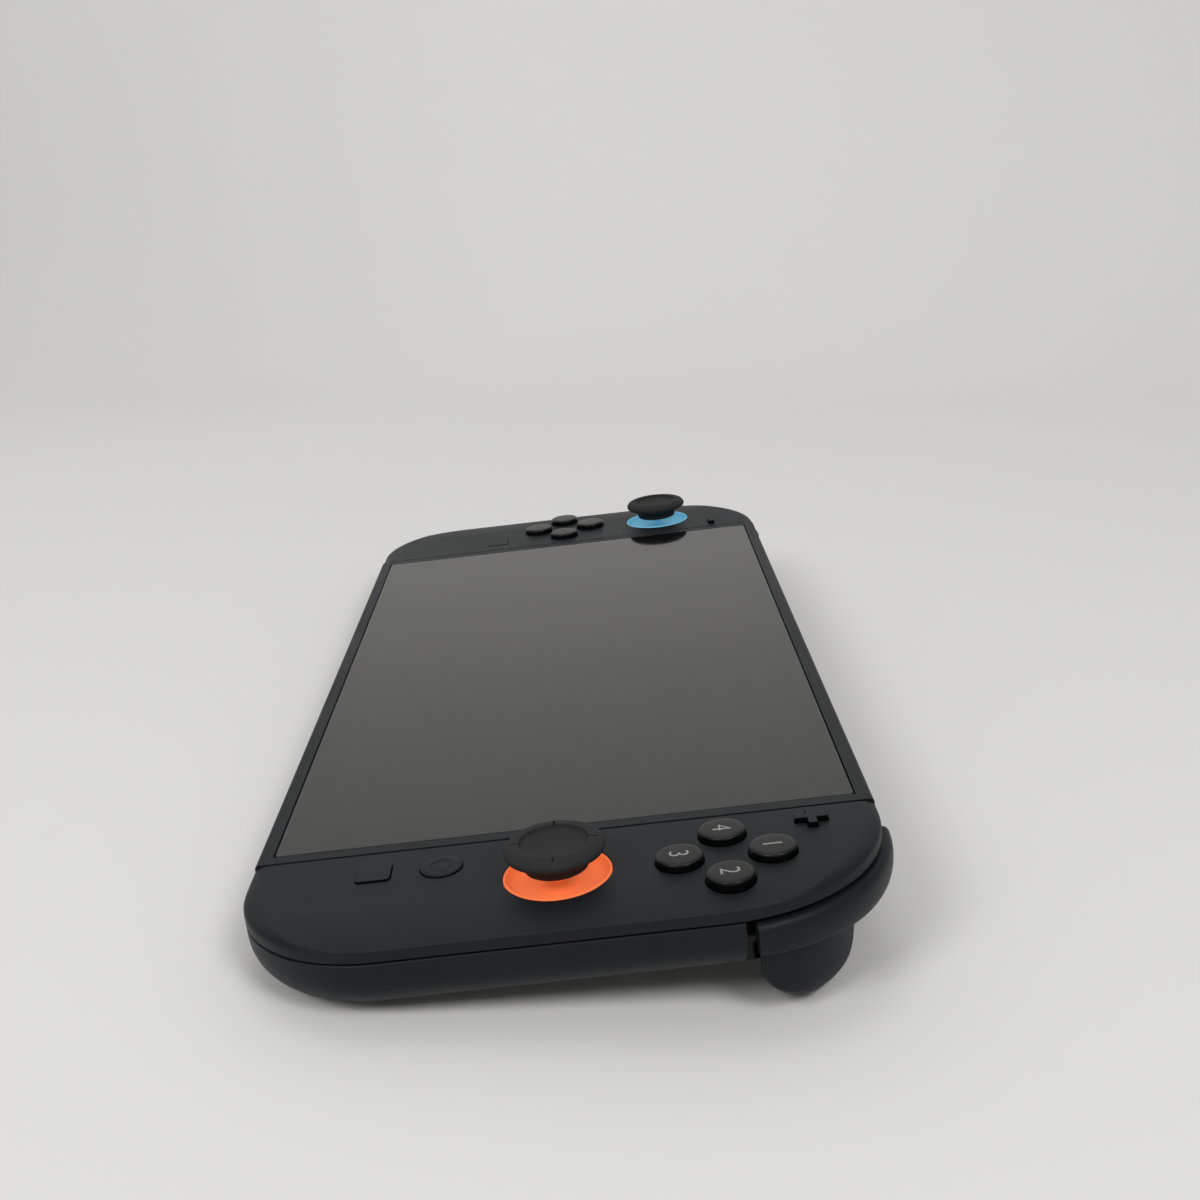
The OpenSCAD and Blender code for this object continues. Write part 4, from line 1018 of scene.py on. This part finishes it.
@dataclass
class FaceControls:
    """The round buttons, the plus or minus and the small buttons on one controller's face.

    Attributes:
        side: The controller.
        reach: Distance of each round button from the middle of its diamond.
        button_r: Radius of a round button.
        face_z: Height of the shell's face.
        rise: How far a round button stands above the face.
        flange_z: Height of the buttons' undersides.
        flange_h, flange_w: Thickness of the flanges, and how far they reach out.
        bar_l, bar_w: Length and width of the plus's or the minus's bars.
        home_r: Radius of the home button.
        square_w: Width of a square button.
        clear, tight: Gaps round the round buttons, and round the others.
        mark_at, home_at, chat_at: Places of the other buttons.
    """

    side: Side
    reach: float = 8.24
    button_r: float = 4.2
    face_z: float = 13.9
    rise: float = 1.6
    flange_z: float = 11.6
    flange_h: float = 0.8
    flange_w: float = 0.75
    bar_l: float = 6.0
    bar_w: float = 1.65
    home_r: float = 3.85
    square_w: float = 6.2
    clear: float = 0.2
    tight: float = 0.1
    mark_at: Pair = (107.4, 45.4)
    home_at: Pair = (110.3, -22.1)
    chat_at: Pair = (110.0, -34.4)

    @property
    def middle(self) -> Pair:
        """Give the middle of the diamond, on the right side."""
        return (118.1, 28.9 if self.side is Side.RIGHT else -0.9)

    def spots(self) -> dict[str, Pair]:
        """Give the place of each round button, by its node's name."""
        x, y = self.middle
        d = self.reach
        if self.side is Side.RIGHT:
            return {"face_button_north": (x, y + d), "face_button_east": (x + d, y),
                    "face_button_south": (x, y - d), "face_button_west": (x - d, y)}
        return {"direction_button_up": (x, y + d), "direction_button_right": (x - d, y),
                "direction_button_down": (x, y - d), "direction_button_left": (x + d, y)}

    def openings(self) -> list[Piece]:
        """Make the solids that cut the openings for these controls."""
        tools = [bore(spot, self.button_r + self.clear) for spot in self.spots().values()]
        grow = 2 * self.tight
        tools.append(self.cross("hole", self.bar_l + grow, self.bar_w + grow, TOOL_LOW, TOOL_TOP))
        if self.side is Side.RIGHT:
            tools.append(bore(self.home_at, self.home_r + self.tight))
        square = (self.square_w + grow, self.square_w + grow, TOOL_TOP - TOOL_LOW)
        spot = self.chat_at if self.side is Side.RIGHT else self.home_at
        tools.append(slab("hole", square, spot, TOOL_LOW, 0.85))
        return tools

    def flange(self, radius: float) -> list[Pair]:
        """Give the line of a round button's flange, from its side to its axis."""
        low, top, out = self.flange_z, self.flange_z + self.flange_h, radius + self.flange_w
        return [(radius, top), (out, top), (out, low), (0, low)]

    def cross(self, name: str, length: float, width: float, low: float, high: float) -> Piece:
        """Model an upright plus, or a minus on the left, at its place.

        Args:
            name: The piece's name.
            length: Length of a bar.
            width: Width of a bar.
            low: Height of its underside.
            high: Height of its top.

        Returns:
            The closed solid.
        """
        x, y = self.mark_at
        piece = start_sheet(name, (width, width), (x, y, low))
        ways = [(1, 0), (-1, 0), (0, 1), (0, -1)] if self.side is Side.RIGHT else [(1, 0), (-1, 0)]
        out = (length - width) / 2
        lift(high - low)
        for way in ways:
            spot = Vector((x + way[0] * width / 2, y + way[1] * width / 2, (low + high) / 2))
            pick(Part.FACE, lambda f: (f.calc_center_median() - spot).length < NEAR)
            move = (way[0] * out, way[1] * out, 0)
            push(move)
        close_up()
        return piece

    def build(self) -> None:
        """Model and dress every control of the face."""
        for index, (node, spot) in enumerate(self.spots().items()):
            self.build_round(node, spot)
            self.build_sign(node, spot, index)
        node = "plus_button" if self.side is Side.RIGHT else "minus_button"
        piece = self.cross(node + "_form", self.bar_l, self.bar_w, self.flange_z, self.face_z + 1.0)
        soften(piece, 0.14, 3)
        low, top, out = self.flange_z, self.flange_z + self.flange_h, 3.4
        collar = turn("collar", [(0, low), (out, low), (out, top), (0, top)], self.mark_at, 48)
        # The upright sides take the darker gloss black: painted shade in the gap round the plus or minus.
        dress_faces(settle(join([piece, collar]), SHELL, node, [node], self.side), GLOSS_BLACK_AND_PAINTED_SHADE)
        if self.side is Side.RIGHT:
            self.build_home()
            self.build_square("chat_button", self.chat_at, 0.36)
        else:
            self.build_square("capture_button", self.home_at, 0.12)

    def build_round(self, node: str, spot: Pair) -> None:
        """Model and dress one round button, low-domed with a rounded edge."""
        r, top = self.button_r, self.face_z + self.rise
        line = [(0, 0), (2.2, 0.01), (3.1, 0.03), (3.6, 0.06), (3.82, 0.11), (4.0, 0.21), (4.12, 0.35),
                (4.18, 0.52), (r, 0.72)]
        piece = turn(node + "_form", [(x, top - drop) for x, drop in line] + self.flange(r), spot)
        # The upright sides take the darker gloss black: painted shade in the gap round the button.
        dress_faces(settle(piece, BUTTON, node, [node], self.side), GLOSS_BLACK_AND_PAINTED_SHADE)

    def build_sign(self, node: str, spot: Pair, index: int) -> None:
        """Print a plain number on a face button, or an arrow on a direction button."""
        top = self.face_z + self.rise
        if self.side is Side.RIGHT:
            clear_bench()
            bpy.ops.object.text_add()
            piece = bpy.context.object
            piece.data.body = str(index + 1)
            piece.data.size = 5.1
            piece.data.align_x = "CENTER"
            piece.data.extrude = 0.03
            piece.data.offset = -0.055
            bpy.ops.object.convert(target="MESH")
            piece.name = node + "_number"
            piece.location = (spot[0], spot[1] - 1.75, top - 0.02)
        else:
            piece = start_sheet(node + "_arrow", (1.5, 1.3), (0, 0, 0))
            pick(Part.POINT, lambda v: v.co.y > 0)
            bpy.ops.mesh.merge(type="CENTER")
            pick(Part.FACE, lambda f: True)
            lift(0.05)
            close_up()
            turns = {"up": 0, "down": math.pi, "right": math.pi / 2, "left": -math.pi / 2}
            piece.rotation_euler.z = turns[node.rsplit("_", 1)[1]]
            piece.location = (spot[0], spot[1], top - 0.03)
        fix_place(piece)
        open_piece(piece)
        close_up()
        settle(piece, MARK if self.side is Side.RIGHT else DIM_MARK, node, (), self.side)

    def build_home(self) -> None:
        """Model and dress the round home button, with a shallow ring in its top."""
        r, top = self.home_r, self.face_z + 0.38
        line = [(0, 0.04), (1.72, 0.04), (1.8, 0.11), (2.06, 0.11), (2.14, 0.01), (3.2, 0), (3.56, 0.03),
                (3.72, 0.1), (3.81, 0.2), (r, 0.36)]
        path = [(x, top - drop) for x, drop in line] + self.flange(r)
        piece = turn("home_button_form", path, self.home_at, 80)
        # The upright sides take the darker gloss black: painted shade in the gap round the home button.
        dress_faces(settle(piece, SHELL, "home_button", ["home_button"], self.side), GLOSS_BLACK_AND_PAINTED_SHADE)

    def build_square(self, node: str, spot: Pair, rise: float) -> None:
        """Model and dress a small square button, nearly flush, with a shallow bead inside its edge."""
        top = self.face_z + rise
        size = (self.square_w, self.square_w, top - self.flange_z)
        piece = slab(node + "_form", size, spot, self.flange_z, 0.6)
        open_piece(piece)
        pick(Part.FACE, facing(1, top))
        bpy.ops.mesh.inset(thickness=0.5, depth=-0.02)
        close_up()
        soften(piece, 0.1, 3, 60.0)
        wide = self.square_w + 2 * self.flange_w
        lip = slab("lip", (wide, wide, self.flange_h), spot, self.flange_z, 0.6)
        # The upright sides take the darker gloss black: painted shade in the gap round the square button.
        dress_faces(settle(join([piece, lip]), SHELL, node, [node], self.side), GLOSS_BLACK_AND_PAINTED_SHADE)


@dataclass
class ShoulderPair:
    """The shoulder button and the trigger under it, in one upper corner.

    Attributes:
        side: The controller.
        shoulder_at, trigger_at: The centres that they curve round.
        shoulder_ends, trigger_ends: First and last angle of each, in degrees.
        trigger_r, trigger_drop: Outer radius of the trigger, and its reach below the back.
        pocket_r: Radius of the pocket's inner wall.
        crease_z: Height of the crease between them.
        seam_z: Height of the parting line.
        undercut, undercut_z: Slope of the shoulder's lower edge, in degrees, and its height.
        wedge_x: Where the trigger is drawn in on its inner side.
        sight, thumb_at: The line along which its lower corner is rounded, and the place of that round.
    """

    side: Side
    shoulder_at: Pair = (104.7, 27.7)
    trigger_at: Pair = (108.6, 25.8)
    shoulder_ends: Pair = (7.9, 89.0)
    trigger_ends: Pair = (12.8, 70.0)
    trigger_r: float = 26.5
    trigger_drop: float = 10.4
    pocket_r: float = 24.0
    crease_z: float = 4.2
    seam_z: float = 10.6
    undercut: float = -2.8
    undercut_z: float = 3.2
    wedge_x: float = 11.2
    sight: Triple = (0.845, -0.059, 0.532)
    thumb_at: Triple = (130.0, 32.0, -7.35)

    def pocket(self, grow: float) -> list[Piece]:
        """Make the solids of the pocket in the rear shell, grown by a distance."""
        r = self.pocket_r - grow
        spin = math.degrees(grow / self.pocket_r)
        low, top = self.crease_z - grow, self.seam_z + 2
        upper = [(r, low), (r + 31, low), (r + 31, top), (r, top)]
        under = [(r, -1), (r + 31, -1), (r + 31, self.crease_z + 1), (r, self.crease_z + 1)]
        first, flat = 9 - spin, math.radians(75)
        left = self.trigger_at[0] - 4.2 - grow
        right = self.trigger_at[0] + r * math.cos(flat) + 2
        front = self.trigger_at[1] + r * math.sin(flat)
        box = slab("pocket", (right - left, 31.0, top - low), ((left + right) / 2, front + 15.5), low)
        return [sweep("pocket", upper, self.trigger_at, (first, 90), 40), box,
                sweep("pocket", under, self.trigger_at, (first, 73 + spin), 40)]

    def is_pocket(self, face: bmesh.types.BMFace) -> bool:
        """Tell whether a face of the settled rear shell lies in the pocket, whose faces take a painted shade.
        """
        middle = face.calc_center_median() * (1 / MM)
        x, y = abs(middle.x) - self.trigger_at[0], middle.y - self.trigger_at[1]
        turned = math.degrees(math.atan2(y, x))
        low = -1.0 if turned < 72 else self.crease_z - 0.1
        inside = math.hypot(x, y) > self.pocket_r - 0.15 and turned > 8.9
        return inside and low < middle.z < self.seam_z - 0.1

    def build(self) -> None:
        """Model and dress both."""
        self.build_shoulder()
        self.build_trigger()

    def build_shoulder(self) -> None:
        """Model and dress the shoulder button, a bulging strip that wraps the corner."""
        path = [(30.5, 1.6), (30.7, 2.4), (31.0, 3.0), (31.4, 3.6), (31.75, 4.3), (32.0, 5.2), (32.15, 6.2),
                (32.2, 7.2), (32.15, 8.1), (32.0, 8.8), (31.72, 9.4), (31.3, 9.8), (30.7, 10.0), (28.8, 10.0),
                (28.8, 11.2), (28.2, 11.2), (28.2, 9.6), (29.0, 9.4), (29.0, 5.9), (30.2, 4.9), (30.2, 1.6)]
        node = self.side.node("shoulder")
        piece = sweep("shoulder_" + self.side.word, path, self.shoulder_at, self.shoulder_ends, 56)
        under = slab("under", (BLOCK, BLOCK, 10.0), (0, 0), -10.0)
        middle = math.radians(sum(self.shoulder_ends) / 2)
        across = Matrix.Rotation(middle, 4, "Z") @ Matrix.Rotation(math.radians(self.undercut), 4, "X")
        x = self.shoulder_at[0] + 28 * math.cos(middle)
        y = self.shoulder_at[1] + 28 * math.sin(middle)
        under.matrix_world = Matrix.Translation((x, y, self.undercut_z)) @ across.to_4x4()
        fix_place(under)
        carve(piece, [under])
        soften(piece, 0.4, 4, 40.0)
        settle(piece, SHELL, node, [node], self.side, 50.0)

    def build_trigger(self) -> None:
        """Model and dress the trigger, a deep rounded blade that hangs below the back."""
        r, deep = self.trigger_r, self.trigger_drop
        path = [(r, 3.7), (r, 1.5), (r, -2.5), (r - 0.04, -4.6), (r - 0.28, -6.2), (r - 0.85, -7.6),
                (r - 1.8, -8.85), (r - 3.1, -9.75), (r - 4.6, -10.28), (r - 6.1, -deep), (r - 7.7, -10.18),
                (r - 9.3, -9.5), (r - 10.7, -8.4), (r - 11.9, -7.0), (r - 12.7, -5.4), (r - 13.0, -3.8),
                (r - 13.0, -1.7), (24.2, -0.42), (24.9, -0.3), (24.9, 3.7)]
        node = self.side.node("trigger")
        piece = sweep("trigger_" + self.side.word, path, self.trigger_at, self.trigger_ends, 40)
        half = math.radians((self.trigger_ends[1] - self.trigger_ends[0]) / 2)
        width = 2 * r * math.sin(half)
        gauge = start_sheet("gauge", (width, BLOCK), (0, BLOCK / 2 - deep, 0))
        round_corners(width / 2 - 0.4, 28, lambda v: v.co.y < 0)
        lift(FAR)
        close_up()
        wedge = self.corner_tool("wedge", 4.0, 10, 30.0)
        thumb = self.corner_tool("thumb", 6.2, 18, 40.0)
        middle = math.radians(sum(self.trigger_ends) / 2)
        place = Matrix.Translation((*self.trigger_at, 0)) @ Matrix.Rotation(middle, 4, "Z")
        along = Matrix(((0, 0, 1, 0), (1, 0, 0, 0), (0, 1, 0, 0), (0, 0, 0, 1)))
        gauge.matrix_world = place @ along
        drawn_in = Matrix.Translation((self.wedge_x, 0, 0)) @ Matrix.Rotation(-math.pi / 4, 4, "Z")
        wedge.matrix_world = place @ drawn_in
        slope = Vector(self.sight).normalized()
        aside = (Vector((0, 1, 0)) - slope * slope.y).normalized()
        turned = Matrix((aside, slope.cross(aside), slope)).transposed().to_4x4()
        thumb.matrix_world = Matrix.Translation(self.thumb_at) @ turned
        for tool in (gauge, wedge, thumb):
            fix_place(tool)
            carve(piece, [tool], Cut.SHARED)
        self.smooth(piece)
        settle(piece, SHELL, node, [node], self.side, 60.0)

    def corner_tool(self, name: str, radius: float, steps: int, half: float) -> Piece:
        """Model a tall square tool with one rounded corner, which stands on the Z axis.

        Args:
            name: The tool's name.
            radius: Radius of the rounded corner.
            steps: How many faces go round that corner.
            half: Half of the tool's height.

        Returns:
            The closed solid.
        """
        piece = start_sheet(name, (BLOCK, BLOCK), (BLOCK / 2, BLOCK / 2, -half))
        round_corners(radius, steps, lambda v: v.co.length < half + 1)
        lift(2 * half)
        close_up()
        return piece

    def smooth(self, piece: Piece) -> None:
        """Remesh a piece evenly and smooth it, so that every edge is soft."""
        even = piece.modifiers.new("even", "REMESH")
        even.mode = "VOXEL"
        even.voxel_size = 0.28
        soft = piece.modifiers.new("soft", "SMOOTH")
        soft.factor = 0.5
        soft.iterations = 40
        take(piece)
        for name in (even.name, soft.name):
            bpy.ops.object.modifier_apply(modifier=name)


@dataclass
class RailEnd:
    """The end of one controller that docks: side plate, rail buttons and release lever.

    Attributes:
        side: The controller.
    """

    side: Side

    def build(self) -> None:
        """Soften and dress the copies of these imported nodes."""
        word = self.side.word
        colour = ORANGE if self.side is Side.RIGHT else BLUE
        plate, body = self.side.node("side_plate"), self.side.node("controller")
        dress_copy(plate, "side_plate_" + word, colour, body, 0.25)
        for level in ("upper", "lower"):
            node = f"{word}_rail_button_{level}"
            dress_copy(node, f"rail_button_{word}_{level}", STEEL, node, 0.3, 3)
        node = self.side.node("release_lever")
        dress_copy(node, "release_lever_" + word, BUTTON, node, 0.3, 3)


@dataclass
class Tablet:
    """The tablet between the controllers: glass, frame, back cover, stand and edge controls.

    Attributes:
        glass: Length, height and thickness of the front glass.
        face_z: Height of the front face.
        copies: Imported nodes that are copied, each with its piece's name, finish and edge radius.
    """

    glass: Triple = (197.0, 109.5, 0.9)
    face_z: float = 13.9
    copies: tuple[tuple[str, str, Finish, float], ...] = (
        ("main_frame", "tablet_frame", FRAME_PLASTIC, 0.3),
        ("rear_cover", "back_cover", FRAME_PLASTIC, 0.15),
        ("kickstand", "back_stand", STAND_PAINT, 0.25),
        ("card_door", "game_card_door", FRAME_PLASTIC, 0.2),
        ("power_button", "power_key", BUTTON, 0.25),
        ("volume_rocker", "volume_key", BUTTON, 0.25),
        ("usb_sockets", "charge_sockets", STEEL, 0.06),
        ("audio_jack", "sound_jack", DARK, 0.15),
        ("tablet_screws", "back_screws", STEEL, 0.12),
    )

    def build(self) -> None:
        """Model the glass, and soften and dress the copies of the other visible nodes."""
        self.build_glass()
        bodies = frame["record"]["behaviour"]["bodies"]
        owner = {node: body for body, nodes in bodies.items() for node in nodes}
        for node, name, finish, width in self.copies:
            dress_copy(node, name, finish, owner[node], width)

    def build_glass(self) -> None:
        """Model and dress the front glass, with a ground edge."""
        length, height, thick = self.glass
        piece = start_sheet("screen_glass", (length, height), (0, 0, self.face_z - thick))
        round_corners(0.8, 6, lambda v: True)
        lift(thick - 0.22)
        step_in([(0, 0), (0.03, 0.1), (0.1, 0.17), (0.22, 0.22)])
        close_up()
        settle(piece, GLASS, "tablet", ["front_glass"])


@dataclass
class Inside:
    """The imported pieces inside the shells, which keep their own meshes.

    Attributes:
        finishes: The finish of each node.
    """

    finishes: dict[str, Finish] = field(default_factory=lambda: {
        "display_panel": PANEL, "main_board": BOARD, "heat_sink": COPPER, "fan_housing": DARK,
        "fan_rotor": DARK, "battery_pack": CELL, "speakers": DARK, "right_board": BOARD, "left_board": BOARD,
        "right_battery": CELL, "left_battery": CELL, "right_button_pad": SILICONE,
        "left_button_pad": SILICONE,
        "right_stick_yoke": STEEL, "left_stick_yoke": STEEL,
    })

    def build(self) -> None:
        """Dress each node in place."""
        for node, finish in self.finishes.items():
            piece = frame["nodes"][node]
            piece.data.materials.clear()
            piece.data.materials.append(finish.material())
            LOG.info("node %s dressed in %s", node, finish.name)


@dataclass
class Studio:
    """The pale floor and backdrop, the soft light and the camera.

    Attributes:
        lens: Focal length, in millimetres on a 36 mm sensor.
        eye: The camera's place, in millimetres.
        ahead, right, down: The camera's own axes.
        tilt: Slope of the floor, on which the console leans on its triggers, in degrees.
        rest_y, rest_z: A point of the floor under the triggers.
        floor_tone: Colour of the floor and backdrop.
        painted_shade_at: Where a soft shade is painted into the colour of the floor and backdrop.
        floor_size, floor_x: Reach of the floor, and the place of its middle, in metres.
        wall_h, sweep_r: Height of the backdrop, and radius of the sweep into it, in metres.
        room: Strength of the even light all round.
        lamps: Each lamp's name, place, aim, width and power.
    """

    lens: float = 46.31
    eye: Triple = (361.92, 16.85, 140.23)
    ahead: Triple = (-0.95349, -0.01819, -0.30088)
    right: Triple = (0.01657, 0.99351, -0.11257)
    down: Triple = (0.30097, -0.11232, -0.94700)
    tilt: float = 6.66
    rest_y: float = 39.5
    rest_z: float = -10.45
    floor_tone: Triple = (0.80, 0.796, 0.782)
    painted_shade_at: Triple = (-0.72, -0.5, 0.08)
    floor_size: Pair = (3.2, 4.0)
    floor_x: float = 0.8
    wall_h: float = 1.6
    sweep_r: float = 0.35
    room: float = 0.3
    lamps: tuple[tuple[str, Triple, Triple, float, float], ...] = (
        ("window_left", (0.974, -0.682, 1.07), (0, 0, 0), 0.6, 8.0),
        ("window_right", (0.974, 0.682, 1.07), (0, 0, 0), 0.6, 8.0),
        ("wash", (-0.35, 0, 1.5), (-0.8, 0, 0.3), 0.8, 3.0),
    )

    def build(self) -> None:
        """Build the camera, the floor and the light."""
        self.build_camera()
        self.build_floor()
        self.build_light()

    def build_camera(self) -> None:
        """Stand the camera where the photograph was taken from."""
        data = bpy.data.cameras.new("camera")
        data.lens = self.lens
        data.sensor_width = 36.0
        data.clip_start = 0.005
        camera = bpy.data.objects.new("camera", data)
        bpy.context.scene.collection.objects.link(camera)
        right, up, back = Vector(self.right), -Vector(self.down), -Vector(self.ahead)
        turned = Matrix((right, up, back)).transposed().to_4x4()
        camera.matrix_world = Matrix.Translation(Vector(self.eye) * MM) @ turned
        bpy.context.scene.camera = camera

    def build_floor(self) -> None:
        """Model the floor, which sweeps up into a backdrop far behind the console."""
        floor = start_sheet("floor", self.floor_size, (self.floor_x, 0, 0))
        pick(Part.EDGE, lambda e: all(v.co.x < -0.7 for v in e.verts))
        lift(self.wall_h)
        pick(Part.EDGE, lambda e: all(v.co.x < -0.7 and v.co.z < 0.01 for v in e.verts))
        bpy.ops.mesh.bevel(offset=self.sweep_r, segments=24, profile=0.5, affect="EDGES")
        bpy.ops.object.mode_set(mode="OBJECT")
        bpy.ops.object.shade_smooth()
        floor.rotation_euler.x = math.radians(-self.tilt)
        floor.location = (0, self.rest_y * MM, self.rest_z * MM)
        fix_place(floor)
        floor.data.materials.append(self.floor_finish())

    def floor_finish(self) -> bpy.types.Material:
        """Build the pale floor, with a soft shade painted into it, which lets light and sight through from
        below.
        """
        material = bpy.data.materials.new("pale_floor")
        material.use_nodes = True
        tree = Tree(material.node_tree)
        shader = material.node_tree.nodes["Principled BSDF"]
        shader.inputs["Roughness"].default_value = 0.75
        shader.inputs["Specular IOR Level"].default_value = 0.2
        place = tree.add("TexCoord").outputs["Object"]
        slow = tree.add("TexNoise", {"Vector": place, "Scale": 6.0, "Detail": 3.0})
        dark = tuple(c * 0.985 for c in self.floor_tone) + (1.0,)
        tone = tree.blend(slow.outputs[0], dark, self.floor_tone + (1.0,))
        # A soft patch round painted_shade_at is painted darker: a painted shade on the floor and backdrop.
        away = tree.add("VectorMath", {0: place, 1: self.painted_shade_at}, operation="DISTANCE").outputs["Value"]
        dim = tree.spread(away, 0.05, 0.5, (0.3, 0.0))
        shaded = tree.blend(dim, tone, tuple(c * 0.5 for c in self.floor_tone) + (1.0,))
        tree.feed(shader, {"Base Color": shaded})
        clear = tree.add("BsdfTransparent")
        behind = tree.add("NewGeometry").outputs["Backfacing"]
        mixed = tree.add("MixShader", {0: behind, 1: shader.outputs[0], 2: clear.outputs[0]})
        end = material.node_tree.nodes["Material Output"]
        tree.feed(end, {"Surface": mixed.outputs[0]})
        return material

    def build_light(self) -> None:
        """Set an even room, two soft lamps in front and a wash on the backdrop."""
        world = bpy.data.worlds.new("room")
        world.use_nodes = True
        back = world.node_tree.nodes["Background"]
        back.inputs["Color"].default_value = (1.0, 1.0, 0.99, 1.0)
        back.inputs["Strength"].default_value = self.room
        bpy.context.scene.world = world
        for name, place, aim, size, power in self.lamps:
            data = bpy.data.lights.new(name, "AREA")
            data.shape = "DISK"
            data.size = size
            data.energy = power
            lamp = bpy.data.objects.new(name, data)
            bpy.context.scene.collection.objects.link(lamp)
            lamp.location = place
            lamp.rotation_euler = (Vector(aim) - Vector(place)).to_track_quat("-Z", "Y").to_euler()
        bpy.context.scene.view_settings.view_transform = "Standard"


def build_controller(side: Side) -> None:
    """Build one controller's shells, stick, buttons, trigger and rail."""
    shells, stick, controls, corner = Shells(side), Stick(side), FaceControls(side), ShoulderPair(side)
    shells.build_front([stick.opening(), *controls.openings()])
    # The pocket's faces take the darker gloss black: painted shade in the cavity behind the shoulder button
    # and trigger.
    dress_faces(shells.build_rear(corner.pocket), GLOSS_BLACK_AND_PAINTED_SHADE, corner.is_pocket)
    stick.build()
    controls.build()
    corner.build()
    RailEnd(side).build()


def main() -> None:
    """Build everything in order."""
    logging.basicConfig(level=logging.INFO, format="%(name)s: %(message)s")
    Studio().build()
    Tablet().build()
    for side in Side:
        build_controller(side)
    Inside().build()
    clear_bench()


if __name__ == "__main__":
    main()
